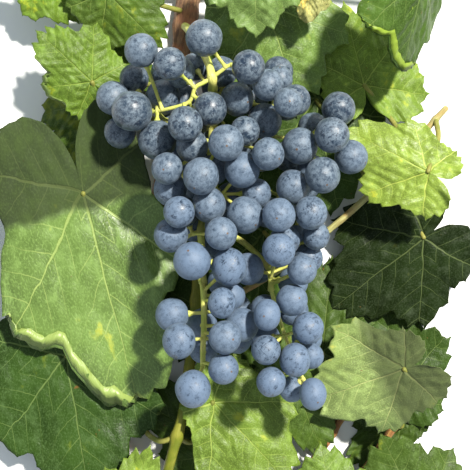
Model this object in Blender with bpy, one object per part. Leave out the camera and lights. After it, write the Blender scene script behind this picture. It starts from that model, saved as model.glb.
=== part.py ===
"""A cut length of grapevine with one ripe bunch, lying on its back.

Run with: blender --background --python part.py

The photograph looks straight down on it, so its right is +X, its top is +Y and the viewer is at +Z.
Places are given as the photograph shows them, a column and a row in pixels, with a height in
millimetres above the floor. The function at() turns one into a real point.
Each cane, shoot, lateral of the bunch and leaf is one closed object, 0.3 mm clear of its neighbours.
"""

import math

import bmesh
import bpy
import numpy as np
from mathutils import Matrix, Vector

MM = 0.001

# Scale and camera of the photograph
PIXEL = 0.44
PHOTO_MIDDLE = 235
CAMERA_HEIGHT = 650
BUNCH_HEIGHT = 50
# The middle of the whole branch's box, measured from the point below the camera
ORIGIN = Vector((1.0, -8.9, 0.1))

# Clearances between neighbours
SEAT_GAP = 0.3
END_TILT_ROOM = 0.5
BERRY_GAP = 0.4

# Canes, shoots and stalks
CANE_RADIUS = 4.5
GREEN_SHOOT_RADIUS = 3.0
SIDE_SHOOT_RADIUS = 1.7
LOWER_CANE_RADIUS = 2.1
UPPER_SHOOT_RADIUS = 2.0
RACHIS_RADIUS = 1.9
LATERAL_RADIUS = 1.2
PEDICEL_RADIUS = 0.8
PETIOLE_RADIUS = 1.3
STALK_ROOM = 1.2
TIP_TAPER = 0.8
PATH_STEPS = 2
CANE_SIDES = 8
STALK_SIDES = 5
PEDICEL_SIDES = 3
PETIOLE_SIDES = 4

# The bunch: a body that bulges over its axis and is thinner in its two tails
AXIS_HEIGHT = 42
BULGE = 30
SHOULDER_ROW = 110
SHOULDER_THINNING = 0.25
TAIL_ROW = 250
END_ROW = 425
TAIL_BULGE = 0.55
SHOULDER_HALF_WIDTH = 150
TAIL_HALF_WIDTH = 100
BUNCH_COLUMN = 236
DROP_STEP = 0.5
FILL_RADIUS = 15.5
COARSE_BERRY_RADIUS = 7.1
FILL_SPACING = 14
FILL_DEPTH = 12
FILL_COLUMN = 250
FILL_WIDTH = 0.62
FILL_FIRST_ROW = 72
FILL_LAST_ROW = 352
FILL_LAYERS = 3
FILL_ROW_SHIFT = 5
FILL_LAYER_SHIFT = 0.3
FILL_STAGGER = 0.5
HIDING_REACH = 32
HIDING_BERRIES = 3
LOWEST_BERRY = 27
SHARING_ROUNDS = 8
SEATS_TRIED = 70
CLASH_COST = 60
PIERCING_COST = 7
PIECE_SAMPLES = 9
NO_LATERAL = -1

# Each material: its name, colour and roughness
LOOKS = {
    "cane": ("cane_bark", (0.33, 0.14, 0.05), 0.7),
    "stalk": ("green_stalk", (0.42, 0.46, 0.08), 0.5),
    "berry": ("grape_berry", (0.07, 0.1, 0.21), 0.45),
    "leaf": ("vine_leaf", (0.11, 0.25, 0.04), 0.5),
}
LIMB_LOOK = {"green_shoot": "stalk", "rachis": "stalk"}

# Leaves
LEAF_THICKNESS = 1.1
LEAF_DIRECTIONS = 20
LEAF_RINGS = (0.55, 1.0)
LOBE_ANGLES = (0.0, 54.0, 108.0)
LOBE_REACHES = (1.0, 0.88, 0.62)
SINUS_ANGLES = (34.0, 80.0, 180.0)
SINUS_REACHES = (0.76, 0.62, 0.1)
LOBE_BREADTH = 1.9

# Canes and shoots: radius, the limb each leaves, and its way from that limb
LIMBS = {
    "main_cane": (CANE_RADIUS, None, (
        (193, -28, 4.6), (185, 22, 4.6), (176, 90, 4.6), (167, 150, 4.6), (152, 250, 4.6),
        (138, 340, 4.6), (124, 425, 4.6), (115, 482, 4.6))),
    "green_shoot": (GREEN_SHOOT_RADIUS, "main_cane", (
        (168, 150, 4.6), (181, 168, 6), (196, 225, 9), (197, 300, 10), (189, 370, 14), (184, 410, 17),
        (176, 440, 17), (160, 500, 9))),
    "side_shoot": (SIDE_SHOOT_RADIUS, "green_shoot", (
        (197, 300, 10), (215, 301, 8), (245, 290, 8), (290, 262, 9), (328, 231, 13), (372, 192, 19),
        (412, 146, 24), (446, 108, 26))),
    "lower_cane": (LOWER_CANE_RADIUS, "main_cane", (
        (117, 470, 4.6), (132, 480, 3), (180, 488, 2.2), (255, 490, 2.2), (300, 474, 2.2), (325, 445, 2.2),
        (345, 412, 2.2))),
    "right_cane": (LOWER_CANE_RADIUS, "lower_cane", (
        (255, 490, 2.2), (268, 500, 2.2), (320, 505, 2.4), (358, 480, 4), (384, 441, 8), (412, 402, 12),
        (432, 376, 14))),
    "upper_shoot": (UPPER_SHOOT_RADIUS, "main_cane", (
        (191, -14, 4.6), (205, -22, 14), (245, -40, 26), (310, -52, 32), (370, -54, 36), (430, -50, 38))),
    "rachis": (RACHIS_RADIUS, "main_cane", (
        (184, 26, 4.6), (187, 28, 18), (195, 40, 36), (207, 60, 52), (212, 78, 57), (213, 94, 47),
        (213, 112, 41), (212, 145, 37), (207, 195, 36), (201, 228, 42), (202, 250, 43), (203, 283, 47))),
}

# Laterals of the bunch: radius, the limb each leaves, its way, and its berries with the front one
# first, each a column, a row and a radius in pixels as the photograph shows them
LATERALS = {
    "top_lateral": (LATERAL_RADIUS, "rachis", (
        (212, 78, 57), (221, 71, 58), (231, 65, 58), (243, 70, 52)), (
        (204, 38, 18.7), (248.5, 67, 17))),
    "front_lateral": (LATERAL_RADIUS, "rachis", (
        (213, 134, 38), (217, 136, 46), (224, 136, 52)), (
        (185, 124, 18), (226, 143, 18.3), (210, 109, 17), (237, 99, 17), (245, 131, 15))),
    "left_shoulder": (LATERAL_RADIUS, "rachis", (
        (212, 78, 57), (203, 83, 57), (195, 88, 57), (189, 102, 55), (168, 109, 53), (146, 113, 48)), (
        (170, 64, 16.6), (132, 111, 20.5), (195, 67, 14), (141, 50.5, 17), (113, 98, 17), (163, 97, 17.8),
        (157.5, 140, 19.5), (134, 79, 15), (120, 132, 16))),
    "right_shoulder": (LATERAL_RADIUS, "rachis", (
        (214, 92, 51), (226, 97, 43), (252, 104, 40), (280, 108, 40)), (
        (268, 85, 16), (264.5, 121, 17.7), (288, 102.5, 15), (280, 79, 13), (268, 154, 16.4))),
    "right_wing": (LATERAL_RADIUS, "rachis", (
        (213, 130, 41), (232, 130, 34), (270, 136, 33), (306, 140, 38)), (
        (332, 135, 18), (338.5, 109, 17.3), (322.5, 175, 18), (351, 157, 17), (300, 146, 18.3))),
    "left_side": (LATERAL_RADIUS, "rachis", (
        (211, 150, 38), (196, 156, 40), (176, 168, 38)), (
        (192, 146, 16.5), (167, 168.5, 16), (170, 189, 17), (179, 212, 16))),
    "middle_lateral": (LATERAL_RADIUS, "rachis", (
        (208, 184, 36), (212, 188, 44), (222, 194, 52)), (
        (201, 176, 18.6), (242, 170, 18.2), (221, 233.5, 16.5), (245, 215, 18.6), (209, 205, 17.7),
        (256.5, 193.5, 15))),
    "right_side": (LATERAL_RADIUS, "rachis", (
        (210, 166, 37), (228, 174, 34), (262, 188, 34), (298, 204, 36)), (
        (293, 187, 17.3), (279, 215, 17), (311, 213, 17), (316, 236, 14))),
    "low_left": (LATERAL_RADIUS, "rachis", (
        (201, 231, 42), (194, 233, 43), (186, 238, 42)), (
        (192, 261, 19), (171, 235, 17.3))),
    "low_middle": (LATERAL_RADIUS, "rachis", (
        (202, 258, 44), (210, 262, 42), (226, 270, 38)), (
        (229, 267, 18.7), (248.5, 269, 16))),
    "left_tail": (RACHIS_RADIUS, "rachis", (
        (203, 283, 47), (204, 300, 48), (204, 326, 48), (203, 350, 47), (203, 366, 46)), (
        (225, 337.5, 17), (242, 325, 17), (222, 303, 15), (179, 341, 17.5), (172, 315, 17),
        (193, 389, 18.5), (223.5, 369, 15.5))),
    "right_tail": (RACHIS_RADIUS, "rachis", (
        (206, 208, 38), (222, 228, 34), (248, 246, 34), (268, 268, 40), (271, 290, 45)), (
        (279, 250, 17), (302, 270, 15), (308, 258, 15), (267, 315, 15), (292, 300, 16))),
    "right_tail_end": (LATERAL_RADIUS, "right_tail", (
        (271, 290, 45), (279, 318, 46), (287, 341, 46), (297, 364, 45), (303, 379, 43)), (
        (308, 328, 16), (295, 360, 16.5), (266, 350, 15), (311, 356, 13), (313, 394, 15), (271, 382, 15),
        (292, 389, 13))),
    "back_upper": (LATERAL_RADIUS, "rachis", (
        (213, 112, 46), (217, 116, 36), (224, 124, 29)), ()),
}

# Leaves: place of the blade's foot, place of its tip, roll about its midrib and fold of its halves in
# degrees, droop of its edge as a share of its length, its breadth, the limb that bears it and the
# stalk's way from that limb
LEAVES = {
    "hero_leaf": ((83, 193, 34), (139, 406, 23), -8, 6, 0.04, 0.62, "green_shoot", (
        (177, 437, 17), (156, 440, 15), (136, 412, 11), (105, 310, 13), (86, 215, 24))),
    "left_shaded_leaf": ((98, 98, 13), (62, 172, 7), 6, 8, 0.05, 0.8, "main_cane", (
        (172, 126, 4.6), (160, 122, 8), (130, 108, 10))),
    "upper_left_leaf": ((92, 82, 30), (40, 34, 38), 0, 10, 0.08, 0.9, "main_cane", (
        (174, 105, 4.6), (150, 104, 12), (112, 106, 20), (99, 96, 24))),
    "top_left_leaf": ((106, -8, 26), (160, 46, 14), 8, 6, 0.06, 0.85, "main_cane", (
        (187, 12, 4.6), (170, 8, 14), (130, -4, 20))),
    "corner_left_leaf": ((38, -28, 26), (76, 20, 20), 0, 10, 0.08, 0.85, "main_cane", (
        (190, -6, 4.6), (170, -14, 10), (90, -36, 18))),
    "top_middle_leaf": ((256, -36, 50), (256, 33, 44), 0, 8, 0.06, 1.0, "upper_shoot", (
        (250, -42, 27), (252, -44, 40))),
    "upper_dark_leaf": ((266, 6, 24), (300, 104, 17), 0, 6, 0.05, 0.95, "upper_shoot", (
        (290, -49, 30), (284, -30, 26))),
    "young_leaf": ((312, -14, 44), (306, 23, 40), 0, 20, 0.05, 0.8, "upper_shoot", (
        (320, -52, 33), (316, -40, 42))),
    "upper_back_leaf": ((364, 85, 13.5), (345, 8, 9.5), 0, 5, 0.04, 0.85, "side_shoot", (
        (412, 146, 24), (402, 134, 20), (384, 110, 13))),
    "folded_leaf": ((424, -22, 58), (405, 86, 44), -46, 16, 0.05, 0.8, "upper_shoot", (
        (416, -51, 38), (418, -42, 50))),
    "right_bright_leaf": ((428, 172, 42), (350, 130, 38), 0, 12, 0.06, 0.8, "side_shoot", (
        (436, 120, 26), (438, 140, 34))),
    "right_dark_leaf": ((424, 238, 16), (336, 306, 9), 0, 6, 0.04, 0.85, "side_shoot", (
        (392, 170, 22), (400, 190, 16), (414, 218, 12))),
    "lower_right_leaf": ((404, 369, 34), (312, 402, 22), 0, 8, 0.06, 0.85, "right_cane", (
        (424, 388, 13), (424, 386, 22))),
    "centre_low_leaf": ((213, 402, 24), (290, 484, 22), -8, 3, 0.05, 0.75, "green_shoot", (
        (177, 437, 17), (192, 442, 12), (204, 424, 14))),
    "under_bunch_leaf": ((292, 376, 15), (322, 452, 10), 0, 8, 0.04, 0.7, "lower_cane", (
        (333, 432, 2.2), (320, 420, 8))),
    "low_left_leaf": ((66, 356, 19), (90, 500, 17), 0, 3, 0.02, 0.78, "main_cane", (
        (133, 372, 4.6), (115, 366, 10))),
    "bottom_leaf": ((124, 524, 24), (148, 452, 28), 0, 8, 0.06, 0.7, "green_shoot", (
        (164, 484, 11), (150, 494, 20))),
    "bottom_right_leaf": ((336, 524, 22), (322, 449, 22), 0, 8, 0.06, 0.9, "lower_cane", (
        (296, 478, 2.2), (300, 492, 12))),
    "corner_right_leaf": ((424, 520, 16), (384, 440, 20), 0, 8, 0.06, 0.85, "right_cane", (
        (366, 468, 6), (384, 484, 12))),
    "middle_right_leaf": ((322, 352, 7), (332, 262, 6), 0, 4, 0.02, 0.75, "lower_cane", (
        (343, 415, 2.2), (333, 403, 3.5), (328, 382, 5))),
    "behind_bunch_leaf": ((316, 100, 7), (232, 215, 6), 0, 0, 0.01, 0.8, "side_shoot", (
        (372, 192, 19), (362, 170, 12), (340, 130, 8))),
    "below_bunch_leaf": ((264, 232, 1.8), (250, 385, 1.4), 0, 0, 0.01, 0.6, "side_shoot", (
        (290, 262, 9), (280, 250, 4))),
    "low_back_leaf": ((226, 452, 8), (148, 404, 7.5), 0, 3, 0.02, 0.65, "lower_cane", (
        (240, 489, 2.2), (234, 472, 8))),
    "low_right_back_leaf": ((402, 418, 2), (350, 462, 1.6), 0, 0, 0.01, 0.62, "right_cane", (
        (396, 426, 9.5), (402, 426, 4))),
    "right_back_leaf": ((396, 392, 4.5), (386, 296, 3), 0, 3, 0.01, 0.8, "right_cane", (
        (408, 408, 11.4), (402, 402, 7))),
    "left_back_leaf": ((128, 84, 4), (70, 44, 3), 0, 3, 0.01, 0.7, "main_cane", (
        (177, 80, 4.6), (158, 84, 5))),
}


def at(column, row, height):
    """The real point, in millimetres, that the photograph shows at a pixel."""
    spread = PIXEL * (CAMERA_HEIGHT - height) / (CAMERA_HEIGHT - BUNCH_HEIGHT)
    point = Vector(((column - PHOTO_MIDDLE) * spread, (PHOTO_MIDDLE - row) * spread, height))
    return point - ORIGIN


def smooth_way(places):
    """A smooth way through the places, as a list of points."""
    knots = [at(*place) for place in places]
    ends = [knots[0] * 2 - knots[1]] + knots + [knots[-1] * 2 - knots[-2]]
    way = []
    for before, start, end, after in zip(ends, ends[1:], ends[2:], ends[3:]):
        for step in range(PATH_STEPS):
            t = step / PATH_STEPS
            way.append(0.5 * (2 * start + (end - before) * t
                              + (2 * before - 5 * start + 4 * end - after) * t ** 2
                              + (3 * start - before - 3 * end + after) * t ** 3))
    way.append(knots[-1])
    return way


def shorten(way, length):
    """The way with a length taken off its start."""
    rest = list(way)
    while len(rest) > 2 and (rest[1] - rest[0]).length <= length:
        length -= (rest[1] - rest[0]).length
        rest.pop(0)
    heading = (rest[1] - rest[0]).normalized()
    rest[0] = rest[0] + heading * length
    return rest


def branch_off(way, radius, parent):
    """A branch's way, begun a seat gap clear of the limb it leaves, or in line with that limb's end."""
    parent_way, parent_radii = parent
    start, along, parent_radius = nearest_on(parent_way, parent_radii, way[0])
    if (start - parent_way[-1]).length < SEAT_GAP:
        return shorten(way, SEAT_GAP + END_TILT_ROOM)
    heading = (way[2] - start).normalized()
    slant = abs(heading.dot(along))
    square = math.sqrt(1 - slant ** 2)
    reach = (parent_radius + SEAT_GAP + radius * slant) / square
    return [start + heading * reach] + [point for point in way[1:]
                                        if (point - start).length > reach + radius]


def nearest_on(way, radii, place):
    """The point of a limb's way that lies nearest to a place, with its direction and radius there."""
    found = []
    for start, end, thick, thin in zip(way, way[1:], radii, radii[1:]):
        share = min(max((place - start).dot(end - start) / (end - start).length_squared, 0.0), 1.0)
        point = start + (end - start) * share
        found.append(((point - place).length, point, (end - start).normalized(),
                      thick + (thin - thick) * share))
    return min(found, key=lambda entry: entry[0])[1:]


def tube(way, radii, sides):
    """A closed tube along a way, with flat ends."""
    mesh = bmesh.new()
    heading = (way[1] - way[0]).normalized()
    side = heading.orthogonal().normalized()
    rings = []
    for number, (middle, radius) in enumerate(zip(way, radii)):
        after = way[min(number + 1, len(way) - 1)]
        before = way[max(number - 1, 0)]
        heading = (after - before).normalized()
        side = (side - heading * side.dot(heading)).normalized()
        other = heading.cross(side)
        rings.append([mesh.verts.new(middle + radius * (side * math.cos(turn) + other * math.sin(turn)))
                      for turn in (math.tau * step / sides for step in range(sides))])
    for near, far in zip(rings, rings[1:]):
        for step in range(sides):
            after = (step + 1) % sides
            mesh.faces.new((near[step], near[after], far[after], far[step]))
    mesh.faces.new(list(reversed(rings[0])))
    mesh.faces.new(rings[-1])
    return mesh


def berry_ball(middle, radius):
    """A faceted ball whose corners lie on the berry's true surface, coarser for a small one behind."""
    mesh = bmesh.new()
    place = Matrix.Translation(middle)
    if radius < COARSE_BERRY_RADIUS:
        bmesh.ops.create_uvsphere(mesh, u_segments=6, v_segments=4, radius=radius, matrix=place)
    else:
        bmesh.ops.create_icosphere(mesh, subdivisions=2, radius=radius, matrix=place)
    return mesh


def material_for(name, colour, roughness):
    """A plain material with the part's colour."""
    material = bpy.data.materials.new(name)
    material.use_nodes = True
    shader = material.node_tree.nodes["Principled BSDF"]
    shader.inputs["Base Color"].default_value = (*colour, 1.0)
    shader.inputs["Roughness"].default_value = roughness
    shader.inputs["Metallic"].default_value = 0.0
    return material


def add_object(name, mesh, material, collection=None):
    """Turn a bmesh in millimetres into an object in metres."""
    bmesh.ops.scale(mesh, vec=(MM, MM, MM), verts=mesh.verts)
    data = bpy.data.meshes.new(name)
    mesh.to_mesh(data)
    mesh.free()
    if material:
        data.materials.append(material)
    thing = bpy.data.objects.new(name, data)
    (collection or bpy.context.scene.collection).objects.link(thing)
    return thing


def fuse(name, meshes, material):
    """Join overlapping closed meshes into one object by one Boolean union on a collection."""
    first = add_object(name, meshes[0], material)
    group = bpy.data.collections.new(name + "_parts")
    bpy.context.scene.collection.children.link(group)
    for mesh in meshes[1:]:
        add_object(name + "_part", mesh, None, group)
    union = first.modifiers.new("union", "BOOLEAN")
    union.operation = "UNION"
    union.operand_type = "COLLECTION"
    union.collection = group
    union.solver = "MANIFOLD"
    bpy.context.view_layer.update()
    evaluated = first.evaluated_get(bpy.context.evaluated_depsgraph_get())
    joined = bpy.data.meshes.new_from_object(evaluated)
    first.modifiers.clear()
    first.data = joined
    joined.name = name
    for part in list(group.objects):
        bpy.data.objects.remove(part)
    bpy.data.collections.remove(group)


def bulge_height(column, row):
    """Height of the bunch's front surface, for a berry's middle, at a pixel."""
    tail = min(max((row - TAIL_ROW) / (END_ROW - TAIL_ROW), 0.0), 1.0)
    shoulder = min(max((SHOULDER_ROW - row) / SHOULDER_ROW, 0.0), 1.0)
    half_width = SHOULDER_HALF_WIDTH + (TAIL_HALF_WIDTH - SHOULDER_HALF_WIDTH) * min(row / TAIL_ROW, 1.0)
    across = min(abs(column - BUNCH_COLUMN) / half_width, 1.0)
    thickness = 1.0 - (1.0 - TAIL_BULGE) * tail - SHOULDER_THINNING * shoulder ** 2
    return AXIS_HEIGHT + BULGE * thickness * math.sqrt(1.0 - across ** 2)


def distance_to_ways(point, starts, ends):
    """Distances from a point to many straight pieces, each from a start to an end."""
    pieces = ends - starts
    share = np.einsum("ij,ij->i", point - starts, pieces) / np.einsum("ij,ij->i", pieces, pieces)
    nearest = starts + pieces * np.clip(share, 0.0, 1.0)[:, None]
    return np.linalg.norm(point - nearest, axis=1)


class Bunch:
    """The berries placed so far and the stalks they keep clear of."""

    def __init__(self, stalks):
        starts, ends, radii = [], [], []
        for way, radius in stalks:
            for start, end in zip(way, way[1:]):
                starts.append(start)
                ends.append(end)
                radii.append(radius)
        self.starts = np.array(starts)
        self.ends = np.array(ends)
        self.radii = np.array(radii)
        self.middles = []
        self.sizes = []
        self.shown_at = []

    def is_clear(self, middle, radius):
        """Whether a berry here would touch no other berry and no stalk."""
        if self.middles:
            reach = np.array(self.sizes) + radius + BERRY_GAP
            if (np.linalg.norm(np.array(self.middles) - middle, axis=1) < reach).any():
                return False
        return (distance_to_ways(middle, self.starts, self.ends) > self.radii + radius + BERRY_GAP).all()

    def hang(self, column, row, pixels, height, lowest):
        """Put a berry at the greatest height, from the given one down, that the others leave free."""
        while height >= lowest:
            middle = np.array(at(column, row, height))
            radius = pixels * PIXEL * (CAMERA_HEIGHT - height) / (CAMERA_HEIGHT - BUNCH_HEIGHT)
            if self.is_clear(middle, radius):
                self.middles.append(middle)
                self.sizes.append(radius)
                return
            height -= DROP_STEP

    def hides(self, column, row):
        """Whether a berry behind this pixel is hidden by enough of those that show."""
        reach = np.linalg.norm(np.array(self.shown_at) - (column, row), axis=1)
        return (reach < HIDING_REACH).sum() >= HIDING_BERRIES


def place_berries(stalks):
    """Hang the berries that show, then fill the space behind them."""
    bunch = Bunch(stalks)
    for lateral in LATERALS.values():
        for column, row, pixels in lateral[3]:
            bunch.hang(column, row, pixels, bulge_height(column, row), LOWEST_BERRY)
            bunch.shown_at.append((column, row))
    for layer in range(FILL_LAYERS):
        rows = np.arange(FILL_FIRST_ROW + FILL_ROW_SHIFT * layer, FILL_LAST_ROW, FILL_SPACING)
        for number, row in enumerate(rows):
            shift = FILL_SPACING * (FILL_STAGGER * (number % 2) + FILL_LAYER_SHIFT * layer)
            width = FILL_WIDTH * (SHOULDER_HALF_WIDTH + (TAIL_HALF_WIDTH - SHOULDER_HALF_WIDTH)
                                  * min(row / TAIL_ROW, 1.0))
            for column in np.arange(FILL_COLUMN - width + shift, FILL_COLUMN + width, FILL_SPACING):
                front = bulge_height(column, row)
                if bunch.hides(column, row):
                    bunch.hang(column, row, FILL_RADIUS, front - FILL_DEPTH,
                               max(2 * AXIS_HEIGHT - front, LOWEST_BERRY))
    return bunch


def pieces_between(first_start, first_end, starts, ends):
    """Least distances between one straight piece and many, found at even steps along the one."""
    least = np.full(len(starts), np.inf)
    for share in np.linspace(0.0, 1.0, PIECE_SAMPLES):
        point = first_start + (first_end - first_start) * share
        least = np.minimum(least, distance_to_ways(point, starts, ends))
    return least


def distance_to_points(start, end, points):
    """Distances from one straight piece to many points."""
    piece = end - start
    share = np.clip((points - start) @ piece / (piece @ piece), 0.0, 1.0)
    return np.linalg.norm(points - (start + share[:, None] * piece), axis=1)


def seats_along(ways, rachis):
    """Places on the laterals where a pedicel may begin, their laterals, and the straight pieces.

    The rachis adds pieces that no lateral owns.
    """
    seats, owners = [], []
    starts, ends, piece_owners = [], [], []
    for number, way in enumerate(ways):
        for start, end in zip(way, way[1:]):
            seats += [start * 0.5 + end * 0.5, end]
            owners += [number, number]
            starts.append(start)
            ends.append(end)
            piece_owners.append(number)
    starts += rachis[:-1]
    ends += rachis[1:]
    piece_owners += [NO_LATERAL] * (len(rachis) - 1)
    return np.array(seats), np.array(owners), np.array(starts), np.array(ends), np.array(piece_owners)


def share_out(bunch, ways, rachis):
    """Give each berry a lateral and a place on it that a straight pedicel reaches.

    A pedicel may pass through berries of its own lateral, which is one solid with it, but not
    through another's. Berries change their lateral in turn until every pedicel is free. A berry that
    finds no free way gets no lateral.
    """
    middles = np.array(bunch.middles)
    sizes = np.array(bunch.sizes)
    names = list(ways)
    seats, owners, starts, ends, piece_owners = seats_along(ways.values(), rachis)
    lengths = np.linalg.norm(middles[:, None, :] - seats[None, :, :], axis=2)
    chosen = lengths.argmin(axis=1)
    clashes = np.zeros(len(middles), dtype=int)
    for _ in range(SHARING_ROUNDS):
        before = chosen.copy()
        for berry, middle in enumerate(middles):
            costs, found = {}, {}
            for seat in lengths[berry].argsort()[:SEATS_TRIED]:
                strangers = owners[chosen] != owners[seat]
                strangers[berry] = False
                berries_hit = (distance_to_points(middle, seats[seat], middles)
                               < sizes + PEDICEL_RADIUS + SEAT_GAP)
                pedicels_hit = (pieces_between(middle, seats[seat], middles, seats[chosen])
                                < 2 * PEDICEL_RADIUS + SEAT_GAP)
                stalks_hit = (pieces_between(middle, seats[seat], starts, ends)
                              < RACHIS_RADIUS + PEDICEL_RADIUS + SEAT_GAP)
                found[seat] = (((berries_hit | pedicels_hit) & strangers).sum()
                               + (stalks_hit & (piece_owners != owners[seat])).sum())
                pierced = (berries_hit & ~strangers).sum() - 1
                costs[seat] = lengths[berry][seat] + CLASH_COST * found[seat] + PIERCING_COST * pierced
            chosen[berry] = min(costs, key=costs.get)
            clashes[berry] = found[chosen[berry]]
        if (chosen == before).all():
            break
    given = [None if clash else names[number] for number, clash in zip(owners[chosen], clashes)]
    return given, seats[chosen]


def blade_reach(angles):
    """Reach of a vine leaf's outline, as a share of its midrib, at angles from the midrib in degrees."""
    reach = np.zeros(len(angles))
    knots = sorted([(angle, share, True) for angle, share in zip(LOBE_ANGLES, LOBE_REACHES)]
                   + [(angle, share, False) for angle, share in zip(SINUS_ANGLES, SINUS_REACHES)])
    turned = np.abs((np.asarray(angles) + 180.0) % 360.0 - 180.0)
    for (start, first, first_is_lobe), (end, second, _) in zip(knots, knots[1:]):
        inside = (turned >= start) & (turned <= end)
        share = (turned[inside] - start) / (end - start)
        if first_is_lobe:
            reach[inside] = second + (first - second) * (1.0 - share ** LOBE_BREADTH)
        else:
            reach[inside] = first + (second - first) * (1.0 - (1.0 - share) ** LOBE_BREADTH)
    return reach


def blade_surface(leaf, angles, shares):
    """Points and normal of a leaf's upper surface at angles and at shares of the outline's reach."""
    foot, tip, roll, fold, droop, breadth = leaf[:6]
    base = at(*foot)
    midrib = at(*tip) - base
    length = midrib.length
    forward = midrib.normalized()
    upward = Vector((0.0, 0.0, 1.0))
    upward = (upward - forward * upward.dot(forward)).normalized()
    upward = Matrix.Rotation(math.radians(roll), 3, forward) @ upward
    sideways = upward.cross(forward)
    radius = shares * blade_reach(angles) * length
    along = radius * np.cos(np.radians(angles))
    across = radius * np.sin(np.radians(angles)) * breadth
    rise = -np.abs(across) * math.sin(math.radians(fold)) - droop * length * (radius / length) ** 2
    across = across * math.cos(math.radians(fold))
    points = np.array(base) + np.outer(along, forward) + np.outer(across, sideways)
    return points + np.outer(rise, upward), np.array(upward)


def leaf_blade(leaf):
    """A closed thin blade, whose underside never goes below the floor."""
    mesh = bmesh.new()
    angles = np.arange(LEAF_DIRECTIONS) * 360.0 / LEAF_DIRECTIONS
    layers = []
    for side in (1, 0):
        rings = []
        for share in (0.0,) + LEAF_RINGS:
            points, upward = blade_surface(leaf, angles[:1] if share == 0.0 else angles, share)
            points = points - (1 - side) * LEAF_THICKNESS * upward
            points[:, 2] = np.maximum(points[:, 2], side * LEAF_THICKNESS)
            rings.append([mesh.verts.new(point) for point in points])
        layers.append(rings)
    for side, rings in enumerate(layers):
        for step in range(LEAF_DIRECTIONS):
            after = (step + 1) % LEAF_DIRECTIONS
            add_face(mesh, (rings[0][0], rings[1][step], rings[1][after]), side)
            for near, far in zip(rings[1:], rings[2:]):
                add_face(mesh, (near[step], far[step], far[after]), side)
                add_face(mesh, (near[step], far[after], near[after]), side)
    for step in range(LEAF_DIRECTIONS):
        after = (step + 1) % LEAF_DIRECTIONS
        top, bottom = layers[0][-1], layers[1][-1]
        mesh.faces.new((top[step], bottom[step], bottom[after], top[after]))
    return mesh


def add_face(mesh, corners, flipped):
    """Add a face, the other way round on the underside."""
    mesh.faces.new(tuple(reversed(corners)) if flipped else corners)


def limb_radii(way, radius):
    """Radii along a limb that tapers towards its end."""
    return [radius * (1.0 - (1.0 - TIP_TAPER) * number / (len(way) - 1)) for number in range(len(way))]


def make_limbs(materials):
    """Make the canes and shoots and return each one's way and radii."""
    limbs = {}
    for name, (radius, parent, places) in LIMBS.items():
        way = smooth_way(places)
        if parent:
            way = branch_off(way, radius, limbs[parent])
        limbs[name] = (way, limb_radii(way, radius))
        sides = CANE_SIDES if name == "main_cane" else STALK_SIDES
        add_object(name, tube(*limbs[name], sides), materials[LIMB_LOOK.get(name, "cane")])
    return limbs


def make_bunch(limbs, materials):
    """Make each lateral of the bunch with its berries and their pedicels as one solid."""
    for name, (radius, parent, places, _) in LATERALS.items():
        way = branch_off(smooth_way(places), radius, limbs[parent])
        limbs[name] = (way, limb_radii(way, radius))
    bunch = place_berries([(way, radii[0] * STALK_ROOM) for way, radii in limbs.values()])
    owners, seats = share_out(bunch, {name: limbs[name][0] for name in LATERALS}, limbs["rachis"][0])
    for name in LATERALS:
        meshes = [tube(*limbs[name], STALK_SIDES)]
        for number, middle in enumerate(bunch.middles):
            if owners[number] == name:
                meshes.append(berry_ball(Vector(middle), bunch.sizes[number]))
                stalk = [Vector(seats[number]), Vector(middle)]
                meshes.append(tube(stalk, [PEDICEL_RADIUS] * 2, PEDICEL_SIDES))
        fuse(name, meshes, materials["berry"])


def make_leaves(limbs, materials):
    """Make each leaf, its blade joined to its stalk."""
    for name, leaf in LEAVES.items():
        parent, places = leaf[6:]
        way = branch_off(smooth_way(places + (leaf[0],)), PETIOLE_RADIUS, limbs[parent])
        stalk = tube(way, [PETIOLE_RADIUS] * len(way), PETIOLE_SIDES)
        fuse(name, [leaf_blade(leaf), stalk], materials["leaf"])


def main():
    """Build the whole branch."""
    for thing in list(bpy.data.objects):
        bpy.data.objects.remove(thing)
    materials = {name: material_for(*look) for name, look in LOOKS.items()}
    limbs = make_limbs(materials)
    make_bunch(limbs, materials)
    make_leaves(limbs, materials)


main()
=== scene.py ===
"""The looks of a cut length of grapevine with one ripe bunch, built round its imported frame.

The photograph looks straight down on the branch, so its right is +X, its top is +Y and the viewer is
at +Z. Places are given as the photograph shows them, a column and a row in pixels, with a height in
millimetres above the floor, and at() turns one into a real point in millimetres. Each piece is made
in millimetres and turned into metres when it becomes an object.
The bunch is hung by the same rule as in the frame, so each fine berry lies where the frame has it.
"""

import math

import bpy
import numpy as np
from mathutils import Matrix, Vector, noise

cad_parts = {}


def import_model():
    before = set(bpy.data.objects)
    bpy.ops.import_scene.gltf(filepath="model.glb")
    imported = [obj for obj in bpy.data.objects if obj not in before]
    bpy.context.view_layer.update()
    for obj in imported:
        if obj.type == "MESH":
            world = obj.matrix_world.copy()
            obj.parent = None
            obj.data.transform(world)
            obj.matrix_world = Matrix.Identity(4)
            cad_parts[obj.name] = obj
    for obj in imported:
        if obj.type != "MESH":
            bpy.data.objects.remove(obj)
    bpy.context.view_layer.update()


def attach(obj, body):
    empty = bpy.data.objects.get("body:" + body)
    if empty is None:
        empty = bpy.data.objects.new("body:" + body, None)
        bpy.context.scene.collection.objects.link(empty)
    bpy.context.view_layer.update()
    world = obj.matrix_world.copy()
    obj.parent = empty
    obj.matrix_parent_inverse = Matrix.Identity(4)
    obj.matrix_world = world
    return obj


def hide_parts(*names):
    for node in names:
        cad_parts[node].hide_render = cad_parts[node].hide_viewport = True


MM = 0.001
BODY = "root"
SEED = 11

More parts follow.
